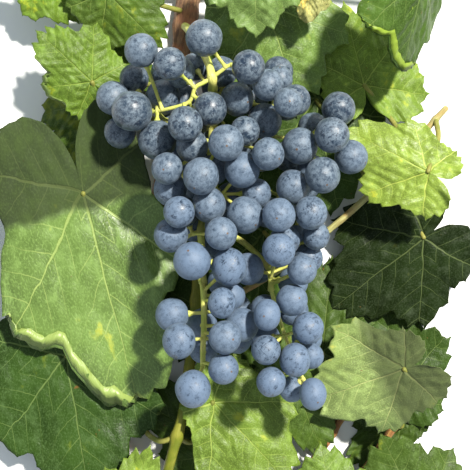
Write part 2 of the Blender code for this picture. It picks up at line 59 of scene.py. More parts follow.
# Scale and camera of the photograph
PIXEL = 0.44
PHOTO_MIDDLE = 235
CAMERA_HEIGHT = 650
BUNCH_HEIGHT = 50
ORIGIN = Vector((1.0, -8.9, 0.1))
PHOTO_WIDTH = 206.8
PHOTO_DISTANCE = 600
SENSOR = 36.0

# Clearances that the bunch is hung with
SEAT_GAP = 0.3
END_TILT_ROOM = 0.5
BERRY_GAP = 0.4

# Canes, shoots and stalks
CANE_RADIUS = 4.5
GREEN_SHOOT_RADIUS = 3.0
SIDE_SHOOT_RADIUS = 1.7
LOWER_CANE_RADIUS = 2.1
UPPER_SHOOT_RADIUS = 2.0
RACHIS_RADIUS = 1.9
LATERAL_RADIUS = 1.2
PEDICEL_RADIUS = 0.8
PETIOLE_RADIUS = 1.3
STALK_ROOM = 1.2
TIP_TAPER = 0.8
COARSE_STEPS = 2

# The bunch: a body that bulges over its axis and is thinner in its two tails
AXIS_HEIGHT = 42
BULGE = 30
SHOULDER_ROW = 110
SHOULDER_THINNING = 0.25
TAIL_ROW = 250
END_ROW = 425
TAIL_BULGE = 0.55
SHOULDER_HALF_WIDTH = 150
TAIL_HALF_WIDTH = 100
BUNCH_COLUMN = 236
DROP_STEP = 0.5
FILL_RADIUS = 15.5
FILL_SPACING = 14
FILL_DEPTH = 12
FILL_COLUMN = 250
FILL_WIDTH = 0.62
FILL_FIRST_ROW = 72
FILL_LAST_ROW = 352
FILL_LAYERS = 3
FILL_ROW_SHIFT = 5
FILL_LAYER_SHIFT = 0.3
FILL_STAGGER = 0.5
HIDING_REACH = 32
HIDING_BERRIES = 3
LOWEST_BERRY = 27
SHARING_ROUNDS = 8
SEATS_TRIED = 70
CLASH_COST = 60
PIERCING_COST = 7
PIECE_SAMPLES = 9
NO_LATERAL = -1

# The leaf's outline
LOBE_ANGLES = (0.0, 54.0, 108.0)
LOBE_REACHES = (1.0, 0.88, 0.62)
SINUS_ANGLES = (34.0, 80.0, 180.0)
SINUS_REACHES = (0.76, 0.62, 0.1)
LOBE_BREADTH = 1.9

# Fine stalks: steps between the named places, spacing of rings and number of sides
FINE_STEPS = 10
RING_SPACING = 1.3
LIMB_SIDES = 28
STALK_SIDES = 14
PEDICEL_SIDES = 8
KNOB_SWELL = 0.3
KNOB_REACH = 1.3
LATERAL_SLIMNESS = 0.78
PEDICEL_STEPS = 12
PEDICEL_SAG = 0.009
CUT_RINGS = (0.0, 0.2, 0.45, 0.7, 0.9, 1.0)

# Fine berries
BERRY_SIDES = 30
BERRY_RINGS = (0, 7, 14, 22, 32, 43, 55, 67, 79, 91, 103, 115, 127, 138, 148, 157, 165, 171, 175, 180)
BERRY_LUMPS = 0.03
BERRY_LENGTH = 1.03
STALK_DIMPLE = 0.05
DIMPLE_ANGLE = 13.0
SCAR_RISE = 0.012
SCAR_ANGLE = 7.0
DULL_ROW = 110
BLOOM_ROW = 270
LIGHT_BLOOM = 0.5
HEAVY_BLOOM = 0.84
BLOOM_SPREAD = 0.22
SCARRED_SHARE = 0.55

# Fine leaves
SEED_STEP = 0.37
BLADE_THICKNESS = 0.5
BLADE_RINGS = 24
UNDER_RINGS = 10
RING_BIAS = 0.85
FLOOR_ROOM = 0.1
TEETH_A_SIDE = 14
TOOTH_SHAPE = ((0.0, 1.0), (0.1, 0.66), (0.36, 0.42), (0.62, 0.0), (0.76, 0.32), (0.92, 0.62))
TOOTH_DEPTH = 0.072
TOOTH_VARIETY = 1.2
LOBE_TOOTH = 1.0
VEIN_ANGLES = (0.0, 54.0, 108.0)
VEIN_SHOULDER = 0.035
VEIN_WIDTH = 0.012
VEIN_GROOVE = 0.45
SIDE_VEIN_SPACING = 0.16
SIDE_VEIN_SLOPE = 0.62
SIDE_VEIN_CURVE = 0.7
PUCKER = 0.3
PILLOW = 0.012
PILLOW_SHOULDER = 0.13
LUMPS = 0.7
LUMP_SCALE = 13.0
BENDS = 3.0
BEND_SCALE = 3.0
EDGE_WAVE = 1.0
TURNED_LIFT = 0.9
TURNED_FLATNESS = 0.85
LEAF_ROUGHNESS = 0.4

# Canes and shoots: radius, the limb each leaves, and its way from that limb
LIMBS = {
    "main_cane": (CANE_RADIUS, None, (
        (193, -28, 4.6), (185, 22, 4.6), (176, 90, 4.6), (167, 150, 4.6), (152, 250, 4.6),
        (138, 340, 4.6), (124, 425, 4.6), (115, 482, 4.6))),
    "green_shoot": (GREEN_SHOOT_RADIUS, "main_cane", (
        (168, 150, 4.6), (181, 168, 6), (196, 225, 9), (197, 300, 10), (189, 370, 14), (184, 410, 17),
        (176, 440, 17), (160, 500, 9))),
    "side_shoot": (SIDE_SHOOT_RADIUS, "green_shoot", (
        (197, 300, 10), (215, 301, 8), (245, 290, 8), (290, 262, 9), (328, 231, 13), (372, 192, 19),
        (412, 146, 24), (446, 108, 26))),
    "lower_cane": (LOWER_CANE_RADIUS, "main_cane", (
        (117, 470, 4.6), (132, 480, 3), (180, 488, 2.2), (255, 490, 2.2), (300, 474, 2.2), (325, 445, 2.2),
        (345, 412, 2.2))),
    "right_cane": (LOWER_CANE_RADIUS, "lower_cane", (
        (255, 490, 2.2), (268, 500, 2.2), (320, 505, 2.4), (358, 480, 4), (384, 441, 8), (412, 402, 12),
        (432, 376, 14))),
    "upper_shoot": (UPPER_SHOOT_RADIUS, "main_cane", (
        (191, -14, 4.6), (205, -22, 14), (245, -40, 26), (310, -52, 32), (370, -54, 36), (430, -50, 38))),
    "rachis": (RACHIS_RADIUS, "main_cane", (
        (184, 26, 4.6), (187, 28, 18), (195, 40, 36), (207, 60, 52), (212, 78, 57), (213, 94, 47),
        (213, 112, 41), (212, 145, 37), (207, 195, 36), (201, 228, 42), (202, 250, 43), (203, 283, 47))),
}

# Laterals of the bunch: radius, the limb each leaves, its way, and its berries with the front one
# first, each a column, a row and a radius in pixels as the photograph shows them
LATERALS = {
    "top_lateral": (LATERAL_RADIUS, "rachis", (
        (212, 78, 57), (221, 71, 58), (231, 65, 58), (243, 70, 52)), (
        (204, 38, 18.7), (248.5, 67, 17))),
    "front_lateral": (LATERAL_RADIUS, "rachis", (
        (213, 134, 38), (217, 136, 46), (224, 136, 52)), (
        (185, 124, 18), (226, 143, 18.3), (210, 109, 17), (237, 99, 17), (245, 131, 15))),
    "left_shoulder": (LATERAL_RADIUS, "rachis", (
        (212, 78, 57), (203, 83, 57), (195, 88, 57), (189, 102, 55), (168, 109, 53), (146, 113, 48)), (
        (170, 64, 16.6), (132, 111, 20.5), (195, 67, 14), (141, 50.5, 17), (113, 98, 17), (163, 97, 17.8),
        (157.5, 140, 19.5), (134, 79, 15), (120, 132, 16))),
    "right_shoulder": (LATERAL_RADIUS, "rachis", (
        (214, 92, 51), (226, 97, 43), (252, 104, 40), (280, 108, 40)), (
        (268, 85, 16), (264.5, 121, 17.7), (288, 102.5, 15), (280, 79, 13), (268, 154, 16.4))),
    "right_wing": (LATERAL_RADIUS, "rachis", (
        (213, 130, 41), (232, 130, 34), (270, 136, 33), (306, 140, 38)), (
        (332, 135, 18), (338.5, 109, 17.3), (322.5, 175, 18), (351, 157, 17), (300, 146, 18.3))),
    "left_side": (LATERAL_RADIUS, "rachis", (
        (211, 150, 38), (196, 156, 40), (176, 168, 38)), (
        (192, 146, 16.5), (167, 168.5, 16), (170, 189, 17), (179, 212, 16))),
    "middle_lateral": (LATERAL_RADIUS, "rachis", (
        (208, 184, 36), (212, 188, 44), (222, 194, 52)), (
        (201, 176, 18.6), (242, 170, 18.2), (221, 233.5, 16.5), (245, 215, 18.6), (209, 205, 17.7),
        (256.5, 193.5, 15))),
    "right_side": (LATERAL_RADIUS, "rachis", (
        (210, 166, 37), (228, 174, 34), (262, 188, 34), (298, 204, 36)), (
        (293, 187, 17.3), (279, 215, 17), (311, 213, 17), (316, 236, 14))),
    "low_left": (LATERAL_RADIUS, "rachis", (
        (201, 231, 42), (194, 233, 43), (186, 238, 42)), (
        (192, 261, 19), (171, 235, 17.3))),
    "low_middle": (LATERAL_RADIUS, "rachis", (
        (202, 258, 44), (210, 262, 42), (226, 270, 38)), (
        (229, 267, 18.7), (248.5, 269, 16))),
    "left_tail": (RACHIS_RADIUS, "rachis", (
        (203, 283, 47), (204, 300, 48), (204, 326, 48), (203, 350, 47), (203, 366, 46)), (
        (225, 337.5, 17), (242, 325, 17), (222, 303, 15), (179, 341, 17.5), (172, 315, 17),
        (193, 389, 18.5), (223.5, 369, 15.5))),
    "right_tail": (RACHIS_RADIUS, "rachis", (
        (206, 208, 38), (222, 228, 34), (248, 246, 34), (268, 268, 40), (271, 290, 45)), (
        (279, 250, 17), (302, 270, 15), (308, 258, 15), (267, 315, 15), (292, 300, 16))),
    "right_tail_end": (LATERAL_RADIUS, "right_tail", (
        (271, 290, 45), (279, 318, 46), (287, 341, 46), (297, 364, 45), (303, 379, 43)), (
        (308, 328, 16), (295, 360, 16.5), (266, 350, 15), (311, 356, 13), (313, 394, 15), (271, 382, 15),
        (292, 389, 13))),
    "back_upper": (LATERAL_RADIUS, "rachis", (
        (213, 112, 46), (217, 116, 36), (224, 124, 29)), ()),
}

# Leaves: place of the blade's foot, place of its tip, roll about its midrib and fold of its halves in
# degrees, droop of its edge as a share of its length, its breadth, the limb that bears it and the
# stalk's way from that limb
LEAVES = {
    "hero_leaf": ((83, 193, 34), (139, 406, 23), -8, 6, 0.04, 0.62, "green_shoot", (
        (177, 437, 17), (156, 440, 15), (136, 412, 11), (105, 310, 13), (86, 215, 24))),
    "left_shaded_leaf": ((98, 98, 13), (62, 172, 7), 6, 8, 0.05, 0.8, "main_cane", (
        (172, 126, 4.6), (160, 122, 8), (130, 108, 10))),
    "upper_left_leaf": ((92, 82, 30), (40, 34, 38), 0, 10, 0.08, 0.9, "main_cane", (
        (174, 105, 4.6), (150, 104, 12), (112, 106, 20), (99, 96, 24))),
    "top_left_leaf": ((106, -8, 26), (160, 46, 14), 8, 6, 0.06, 0.85, "main_cane", (
        (187, 12, 4.6), (170, 8, 14), (130, -4, 20))),
    "corner_left_leaf": ((38, -28, 26), (76, 20, 20), 0, 10, 0.08, 0.85, "main_cane", (
        (190, -6, 4.6), (170, -14, 10), (90, -36, 18))),
    "top_middle_leaf": ((256, -36, 50), (256, 33, 44), 0, 8, 0.06, 1.0, "upper_shoot", (
        (250, -42, 27), (252, -44, 40))),
    "upper_dark_leaf": ((266, 6, 24), (300, 104, 17), 0, 6, 0.05, 0.95, "upper_shoot", (
        (290, -49, 30), (284, -30, 26))),
    "young_leaf": ((312, -14, 44), (306, 23, 40), 0, 20, 0.05, 0.8, "upper_shoot", (
        (320, -52, 33), (316, -40, 42))),
    "upper_back_leaf": ((364, 85, 13.5), (345, 8, 9.5), 0, 5, 0.04, 0.85, "side_shoot", (
        (412, 146, 24), (402, 134, 20), (384, 110, 13))),
    "folded_leaf": ((424, -22, 58), (405, 86, 44), -46, 16, 0.05, 0.8, "upper_shoot", (
        (416, -51, 38), (418, -42, 50))),
    "right_bright_leaf": ((428, 172, 42), (350, 130, 38), 0, 12, 0.06, 0.8, "side_shoot", (
        (436, 120, 26), (438, 140, 34))),
    "right_dark_leaf": ((424, 238, 16), (336, 306, 9), 0, 6, 0.04, 0.85, "side_shoot", (
        (392, 170, 22), (400, 190, 16), (414, 218, 12))),
    "lower_right_leaf": ((404, 369, 34), (312, 402, 22), 0, 8, 0.06, 0.85, "right_cane", (
        (424, 388, 13), (424, 386, 22))),
    "centre_low_leaf": ((213, 402, 24), (290, 484, 22), -8, 3, 0.05, 0.75, "green_shoot", (
        (177, 437, 17), (192, 442, 12), (204, 424, 14))),
    "under_bunch_leaf": ((292, 376, 15), (322, 452, 10), 0, 8, 0.04, 0.7, "lower_cane", (
        (333, 432, 2.2), (320, 420, 8))),
    "low_left_leaf": ((66, 356, 19), (90, 500, 17), 0, 3, 0.02, 0.78, "main_cane", (
        (133, 372, 4.6), (115, 366, 10))),
    "bottom_leaf": ((124, 524, 24), (148, 452, 28), 0, 8, 0.06, 0.7, "green_shoot", (
        (164, 484, 11), (150, 494, 20))),
    "bottom_right_leaf": ((336, 524, 22), (322, 449, 22), 0, 8, 0.06, 0.9, "lower_cane", (
        (296, 478, 2.2), (300, 492, 12))),
    "corner_right_leaf": ((424, 520, 16), (384, 440, 20), 0, 8, 0.06, 0.85, "right_cane", (
        (366, 468, 6), (384, 484, 12))),
    "middle_right_leaf": ((322, 352, 7), (332, 262, 6), 0, 4, 0.02, 0.75, "lower_cane", (
        (343, 415, 2.2), (333, 403, 3.5), (328, 382, 5))),
    "behind_bunch_leaf": ((316, 100, 7), (232, 215, 6), 0, 0, 0.01, 0.8, "side_shoot", (
        (372, 192, 19), (362, 170, 12), (340, 130, 8))),
    "below_bunch_leaf": ((264, 232, 1.8), (250, 385, 1.4), 0, 0, 0.01, 0.6, "side_shoot", (
        (290, 262, 9), (280, 250, 4))),
    "low_back_leaf": ((226, 452, 8), (148, 404, 7.5), 0, 3, 0.02, 0.65, "lower_cane", (
        (240, 489, 2.2), (234, 472, 8))),
    "low_right_back_leaf": ((402, 418, 2), (350, 462, 1.6), 0, 0, 0.01, 0.62, "right_cane", (
        (396, 426, 9.5), (402, 426, 4))),
    "right_back_leaf": ((396, 392, 4.5), (386, 296, 3), 0, 3, 0.01, 0.8, "right_cane", (
        (408, 408, 11.4), (402, 402, 7))),
    "left_back_leaf": ((128, 84, 4), (70, 44, 3), 0, 3, 0.01, 0.7, "main_cane", (
        (177, 80, 4.6), (158, 84, 5))),
}

# Berries that the photograph shows plainly longer than wide, by their place: height over width
LONG_BERRIES = {
    (229, 267): 1.12, (267, 315): 1.2, (295, 360): 1.1, (313, 394): 1.2, (222, 303): 1.08,
    (179, 341): 1.1, (193, 389): 1.06, (201, 176): 1.05, (132, 111): 0.98, (204, 38): 1.02,
}

# Stretches of a leaf's edge that are turned over: first and last angle, and width as a share
TURNED_EDGES = {
    "hero_leaf": (-60.0, 2.0, 0.13),
    "upper_left_leaf": (22.0, 88.0, 0.12),
    "folded_leaf": (-60.0, 20.0, 0.14),
}

# Stretches of a leaf's edge that reach more or less far than the usual outline: first and last angle,
# and the share of the usual reach
EDGE_REACHES = {
    "hero_leaf": ((22.0, 130.0, 0.78), (-62.0, 0.0, 1.2)),
    "centre_low_leaf": ((-190.0, -62.0, 0.58),),
    "below_bunch_leaf": ((-160.0, -15.0, 1.5),),
    "low_back_leaf": ((-120.0, 10.0, 1.3),),
    "right_bright_leaf": ((-170.0, -20.0, 0.78),),
    "upper_back_leaf": ((-180.0, -60.0, 1.45),),
    "lower_right_leaf": ((-180.0, -70.0, 0.7), (25.0, 140.0, 0.88)),
}

# Stretches of a leaf's edge that curl up: first and last angle, the share of the blade where the curl
# begins, and how steep it is
RAISED_EDGES = {"hero_leaf": (10.0, 140.0, 0.3, 0.17)}

# Blades with painted shade about their foot, darker there to stand for shade that falls on them: where along the
# blade the painted shade ends and begins to fade, and how dark it is
PAINTED_SHADE_FEET = {"hero_leaf": (0.05, 0.1, 0.8), "lower_right_leaf": (0.16, 0.4, 0.8)}

# How deep a leaf's teeth are beside the usual ones
TOOTH_SCALES = {"hero_leaf": 0.45, "young_leaf": 0.25, "folded_leaf": 0.3, "low_left_leaf": 0.7}

# Undersides that show, in the sun: brighter and yellower than the usual paler underside, painted light that
# stands for sun shining through them
PAINTED_LIGHT_UNDERSIDES = {"hero_leaf": (0.22, 0.29, 0.07), "folded_leaf": (0.2, 0.28, 0.03)}

# Each leaf's green, the share of it that has turned yellow, and its shine. The greens of left_shaded_leaf,
# folded_leaf, right_dark_leaf, under_bunch_leaf, low_left_leaf, corner_right_leaf, middle_right_leaf and the six
# leaves behind the bunch are darker than a lit vine leaf's: painted shade, standing for shade that falls on them
LEAF_LOOKS = {
    "hero_leaf": ((0.1, 0.165, 0.03), 0.1, 0.4),
    "left_shaded_leaf": ((0.04, 0.075, 0.008), 0.5, 0.15),
    "upper_left_leaf": ((0.095, 0.16, 0.016), 0.2, 0.18),
    "top_left_leaf": ((0.06, 0.105, 0.012), 0.25, 0.15),
    "corner_left_leaf": ((0.11, 0.185, 0.018), 0.3, 0.15),
    "top_middle_leaf": ((0.115, 0.185, 0.04), 0.15, 0.35),
    "upper_dark_leaf": ((0.1, 0.165, 0.03), 0.25, 0.25),
    "young_leaf": ((0.3, 0.3, 0.1), 0.3, 0.2),
    "upper_back_leaf": ((0.12, 0.19, 0.022), 0.3, 0.15),
    "folded_leaf": ((0.045, 0.088, 0.01), 0.1, 0.12),
    "right_bright_leaf": ((0.175, 0.25, 0.03), 0.25, 0.3),
    "right_dark_leaf": ((0.011, 0.021, 0.004), 0.1, 0.06),
    "lower_right_leaf": ((0.2, 0.27, 0.075), 0.15, 0.4),
    "centre_low_leaf": ((0.105, 0.165, 0.018), 0.25, 0.2),
    "under_bunch_leaf": ((0.05, 0.09, 0.01), 0.2, 0.15),
    "low_left_leaf": ((0.025, 0.055, 0.007), 0.15, 0.12),
    "bottom_leaf": ((0.12, 0.185, 0.02), 0.25, 0.2),
    "bottom_right_leaf": ((0.1, 0.165, 0.018), 0.2, 0.2),
    "corner_right_leaf": ((0.045, 0.08, 0.01), 0.2, 0.12),
    "middle_right_leaf": ((0.035, 0.065, 0.008), 0.1, 0.12),
    "behind_bunch_leaf": ((0.03, 0.06, 0.007), 0.1, 0.1),
    "below_bunch_leaf": ((0.03, 0.06, 0.007), 0.1, 0.1),
    "low_back_leaf": ((0.035, 0.065, 0.008), 0.2, 0.1),
    "low_right_back_leaf": ((0.035, 0.065, 0.008), 0.2, 0.1),
    "right_back_leaf": ((0.03, 0.06, 0.007), 0.1, 0.1),
    "left_back_leaf": ((0.05, 0.09, 0.01), 0.3, 0.1),
}


def at(column, row, height):
    """The real point, in millimetres, that the photograph shows at a pixel."""
    spread = PIXEL * (CAMERA_HEIGHT - height) / (CAMERA_HEIGHT - BUNCH_HEIGHT)
    point = Vector(((column - PHOTO_MIDDLE) * spread, (PHOTO_MIDDLE - row) * spread, height))
    return point - ORIGIN


def smooth_way(places, steps):
    """A smooth way through the places, as a list of points with so many steps between two places."""
    knots = [at(*place) for place in places]
    ends = [knots[0] * 2 - knots[1]] + knots + [knots[-1] * 2 - knots[-2]]
    way = []
    for before, start, end, after in zip(ends, ends[1:], ends[2:], ends[3:]):
        for step in range(steps):
            t = step / steps
            way.append(0.5 * (2 * start + (end - before) * t
                              + (2 * before - 5 * start + 4 * end - after) * t ** 2
                              + (3 * start - before - 3 * end + after) * t ** 3))
    way.append(knots[-1])
    return way


def nearest_on(way, radii, place):
    """The point of a limb's way that lies nearest to a place, with its direction and radius there."""
    found = []
    for start, end, thick, thin in zip(way, way[1:], radii, radii[1:]):
        share = min(max((place - start).dot(end - start) / (end - start).length_squared, 0.0), 1.0)
        point = start + (end - start) * share
        found.append(((point - place).length, point, (end - start).normalized(),
                      thick + (thin - thick) * share))
    return min(found, key=lambda entry: entry[0])[1:]


def shorten(way, length):
    """The way with a length taken off its start."""
    rest = list(way)
    while len(rest) > 2 and (rest[1] - rest[0]).length <= length:
        length -= (rest[1] - rest[0]).length
        rest.pop(0)
    heading = (rest[1] - rest[0]).normalized()
    rest[0] = rest[0] + heading * length
    return rest


def branch_off(way, radius, parent):
    """A branch's way, begun a seat gap clear of the limb it leaves, or in line with that limb's end."""
    parent_way, parent_radii = parent
    start, along, parent_radius = nearest_on(parent_way, parent_radii, way[0])
    if (start - parent_way[-1]).length < SEAT_GAP:
        return shorten(way, SEAT_GAP + END_TILT_ROOM)
    heading = (way[2] - start).normalized()
    slant = abs(heading.dot(along))
    square = math.sqrt(1 - slant ** 2)
    reach = (parent_radius + SEAT_GAP + radius * slant) / square
    return [start + heading * reach] + [point for point in way[1:]
                                        if (point - start).length > reach + radius]


def limb_radii(way, radius):
    """Radii along a limb that tapers towards its end."""
    return [radius * (1.0 - (1.0 - TIP_TAPER) * number / (len(way) - 1)) for number in range(len(way))]


def bulge_height(column, row):
    """Height of the bunch's front surface, for a berry's middle, at a pixel."""
    tail = min(max((row - TAIL_ROW) / (END_ROW - TAIL_ROW), 0.0), 1.0)
    shoulder = min(max((SHOULDER_ROW - row) / SHOULDER_ROW, 0.0), 1.0)
    half_width = SHOULDER_HALF_WIDTH + (TAIL_HALF_WIDTH - SHOULDER_HALF_WIDTH) * min(row / TAIL_ROW, 1.0)
    across = min(abs(column - BUNCH_COLUMN) / half_width, 1.0)
    thickness = 1.0 - (1.0 - TAIL_BULGE) * tail - SHOULDER_THINNING * shoulder ** 2
    return AXIS_HEIGHT + BULGE * thickness * math.sqrt(1.0 - across ** 2)


def distance_to_ways(point, starts, ends):
    """Distances from a point to many straight pieces, each from a start to an end."""
    pieces = ends - starts
    share = np.einsum("ij,ij->i", point - starts, pieces) / np.einsum("ij,ij->i", pieces, pieces)
    nearest = starts + pieces * np.clip(share, 0.0, 1.0)[:, None]
    return np.linalg.norm(point - nearest, axis=1)


class Bunch:
    """The berries placed so far and the stalks they keep clear of."""

    def __init__(self, stalks):
        starts, ends, radii = [], [], []
        for way, radius in stalks:
            for start, end in zip(way, way[1:]):
                starts.append(start)
                ends.append(end)
                radii.append(radius)
        self.starts = np.array(starts)
        self.ends = np.array(ends)
        self.radii = np.array(radii)
        self.middles = []
        self.sizes = []
        self.places = []
        self.shown_at = []

    def is_clear(self, middle, radius):
        """Whether a berry here would touch no other berry and no stalk."""
        if self.middles:
            reach = np.array(self.sizes) + radius + BERRY_GAP
            if (np.linalg.norm(np.array(self.middles) - middle, axis=1) < reach).any():
                return False
        return (distance_to_ways(middle, self.starts, self.ends) > self.radii + radius + BERRY_GAP).all()

    def hang(self, column, row, pixels, height, lowest):
        """Put a berry at the greatest height, from the given one down, that the others leave free."""
        while height >= lowest:
            middle = np.array(at(column, row, height))
            radius = pixels * PIXEL * (CAMERA_HEIGHT - height) / (CAMERA_HEIGHT - BUNCH_HEIGHT)
            if self.is_clear(middle, radius):
                self.middles.append(middle)
                self.sizes.append(radius)
                self.places.append((column, row))
                return
            height -= DROP_STEP

    def hides(self, column, row):
        """Whether a berry behind this pixel is hidden by enough of those that show."""
        reach = np.linalg.norm(np.array(self.shown_at) - (column, row), axis=1)
        return (reach < HIDING_REACH).sum() >= HIDING_BERRIES


def place_berries(stalks):
    """Hang the berries that show, then fill the space behind them."""
    bunch = Bunch(stalks)
    for lateral in LATERALS.values():
        for column, row, pixels in lateral[3]:
            bunch.hang(column, row, pixels, bulge_height(column, row), LOWEST_BERRY)
            bunch.shown_at.append((column, row))
    for layer in range(FILL_LAYERS):
        rows = np.arange(FILL_FIRST_ROW + FILL_ROW_SHIFT * layer, FILL_LAST_ROW, FILL_SPACING)
        for number, row in enumerate(rows):
            shift = FILL_SPACING * (FILL_STAGGER * (number % 2) + FILL_LAYER_SHIFT * layer)
            width = FILL_WIDTH * (SHOULDER_HALF_WIDTH + (TAIL_HALF_WIDTH - SHOULDER_HALF_WIDTH)
                                  * min(row / TAIL_ROW, 1.0))
            for column in np.arange(FILL_COLUMN - width + shift, FILL_COLUMN + width, FILL_SPACING):
                front = bulge_height(column, row)
                if bunch.hides(column, row):
                    bunch.hang(column, row, FILL_RADIUS, front - FILL_DEPTH,
                               max(2 * AXIS_HEIGHT - front, LOWEST_BERRY))
    return bunch


def pieces_between(first_start, first_end, starts, ends):
    """Least distances between one straight piece and many, found at even steps along the one."""
    least = np.full(len(starts), np.inf)
    for share in np.linspace(0.0, 1.0, PIECE_SAMPLES):
        point = first_start + (first_end - first_start) * share
        least = np.minimum(least, distance_to_ways(point, starts, ends))
    return least


def distance_to_points(start, end, points):
    """Distances from one straight piece to many points."""
    piece = end - start
    share = np.clip((points - start) @ piece / (piece @ piece), 0.0, 1.0)
    return np.linalg.norm(points - (start + share[:, None] * piece), axis=1)


def seats_along(ways, rachis):
    """Places on the laterals where a pedicel may begin, their laterals, and the straight pieces.

    The rachis adds pieces that no lateral owns.
    """
    seats, owners = [], []
    starts, ends, piece_owners = [], [], []
    for number, way in enumerate(ways):
        for start, end in zip(way, way[1:]):
            seats += [start * 0.5 + end * 0.5, end]
            owners += [number, number]
            starts.append(start)
            ends.append(end)
            piece_owners.append(number)
    starts += rachis[:-1]
    ends += rachis[1:]
    piece_owners += [NO_LATERAL] * (len(rachis) - 1)
    return np.array(seats), np.array(owners), np.array(starts), np.array(ends), np.array(piece_owners)


def share_out(bunch, ways, rachis):
    """Give each berry a lateral and a place on it that a straight pedicel reaches.

    A pedicel may pass through berries of its own lateral, which is one solid with it, but not
    through another's. Berries change their lateral in turn until every pedicel is free. A berry that
    finds no free way gets no lateral.
    """
    middles = np.array(bunch.middles)
    sizes = np.array(bunch.sizes)
    names = list(ways)
    seats, owners, starts, ends, piece_owners = seats_along(ways.values(), rachis)
    lengths = np.linalg.norm(middles[:, None, :] - seats[None, :, :], axis=2)
    chosen = lengths.argmin(axis=1)
    clashes = np.zeros(len(middles), dtype=int)
    for _ in range(SHARING_ROUNDS):
        before = chosen.copy()
        for berry, middle in enumerate(middles):
            costs, found = {}, {}
            for seat in lengths[berry].argsort()[:SEATS_TRIED]:
                strangers = owners[chosen] != owners[seat]
                strangers[berry] = False
                berries_hit = (distance_to_points(middle, seats[seat], middles)
                               < sizes + PEDICEL_RADIUS + SEAT_GAP)
                pedicels_hit = (pieces_between(middle, seats[seat], middles, seats[chosen])
                                < 2 * PEDICEL_RADIUS + SEAT_GAP)
                stalks_hit = (pieces_between(middle, seats[seat], starts, ends)
                              < RACHIS_RADIUS + PEDICEL_RADIUS + SEAT_GAP)
                found[seat] = (((berries_hit | pedicels_hit) & strangers).sum()
                               + (stalks_hit & (piece_owners != owners[seat])).sum())
                pierced = (berries_hit & ~strangers).sum() - 1
                costs[seat] = lengths[berry][seat] + CLASH_COST * found[seat] + PIERCING_COST * pierced
            chosen[berry] = min(costs, key=costs.get)
            clashes[berry] = found[chosen[berry]]
        if (chosen == before).all():
            break
    given = [None if clash else names[number] for number, clash in zip(owners[chosen], clashes)]
    return given, seats[chosen]


class Skin:
    """The points, faces and values per point of one piece, gathered before it is made."""

    def __init__(self):
        self.points, self.faces, self.values = [], [], {}
        self.count = 0

    def add(self, points, faces, **values):
        """Add a patch: its points, its faces by number within the patch, and its values per point."""
        self.points.append(points)
        self.faces += [tuple(corner + self.count for corner in face) for face in faces]
        self.count += len(points)
        for name, value in values.items():
            self.values.setdefault(name, []).append(value)

    def make(self, name, material, slot, *nodes):
        """Make the piece, which rides on the frame and stands for the named CAD nodes."""
        data = bpy.data.meshes.new(name)
        data.from_pydata(np.concatenate(self.points) * MM, [], self.faces)
        for key, patches in self.values.items():
            value = np.concatenate(patches)
            kind = "FLOAT_VECTOR" if value.ndim == 2 else "FLOAT"
            field = "vector" if value.ndim == 2 else "value"
            data.attributes.new(key, kind, "POINT").data.foreach_set(field, value.astype(np.float32).ravel())
        data.polygons.foreach_set("use_smooth", [True] * len(data.polygons))
        data.materials.append(material)
        piece = bpy.data.objects.new(name, data)
        bpy.context.scene.collection.objects.link(piece)
        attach(piece, BODY)
        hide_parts(*nodes)
        return piece


def ring_faces(rings, sides):
    """Faces between so many closed rings of so many points."""
    faces = []
    for ring in range(rings - 1):
        for side in range(sides):
            after = (side + 1) % sides
            near, far = ring * sides, (ring + 1) * sides
            faces.append((near + side, near + after, far + after, far + side))
    return faces


def even_way(way, spacing):
    """The same way with evenly spaced points."""
    way = np.array(way)
    lengths = np.concatenate([[0.0], np.cumsum(np.linalg.norm(np.diff(way, axis=0), axis=1))])
    count = max(int(lengths[-1] / spacing), 3) + 1
    places = np.linspace(0.0, lengths[-1], count)
    return np.stack([np.interp(places, lengths, way[:, axis]) for axis in range(3)], axis=1)


def add_tube(skin, way, radii, sides, ribs=0.0, seed=0.0):
    """Add a round stalk along a way of points, with lengthwise ribs and closed rounded ends."""
    headings = np.gradient(way, axis=0)
    headings /= np.linalg.norm(headings, axis=1)[:, None]
    side = np.array(Vector(headings[0]).orthogonal().normalized())
    lengths = np.concatenate([[0.0], np.cumsum(np.linalg.norm(np.diff(way, axis=0), axis=1))])
    turns = np.arange(sides) * math.tau / sides
    points, grain = [], []
    stations = [(0, -0.6, 0.55), *((number, 0.0, 1.0) for number in range(len(way))), (len(way) - 1, 0.6, 0.55)]
    for number, push, share in stations:
        heading = headings[number]
        side = side - heading * (side @ heading)
        side /= np.linalg.norm(side)
        other = np.cross(heading, side)
        middle = way[number] + heading * push * radii[number]
        for turn in turns:
            bump = noise.noise(Vector((math.cos(turn) * 2.2, math.sin(turn) * 2.2,
                                       lengths[number] * 0.06 + seed)))
            fine = noise.noise(Vector((math.cos(turn) * 6.5, math.sin(turn) * 6.5,
                                       lengths[number] * 0.1 + seed)))
            radius = radii[number] * share * (1.0 + ribs * (bump + 0.7 * fine))
            points.append(middle + radius * (side * math.cos(turn) + other * math.sin(turn)))
            grain.append((math.cos(turn) * radii[number], math.sin(turn) * radii[number],
                          lengths[number] + seed * 40.0))
    faces = ring_faces(len(stations), sides)
    faces.append(tuple(reversed(range(sides))))
    faces.append(tuple(range((len(stations) - 1) * sides, len(stations) * sides)))
    points = np.array(points)
    points[:, 2] = np.maximum(points[:, 2], FLOOR_ROOM)
    skin.add(points, faces, grain=np.array(grain))


def swollen(way, radii, knobs):
    """The radii, swollen where side branches leave."""
    radii = np.array(radii, dtype=float)
    swell = np.zeros(len(radii))
    for knob in knobs:
        distance = np.linalg.norm(way - np.array(knob), axis=1)
        swell = np.maximum(swell, KNOB_SWELL * np.exp(-(distance / (KNOB_REACH * radii)) ** 2))
    return radii * (1.0 + swell)


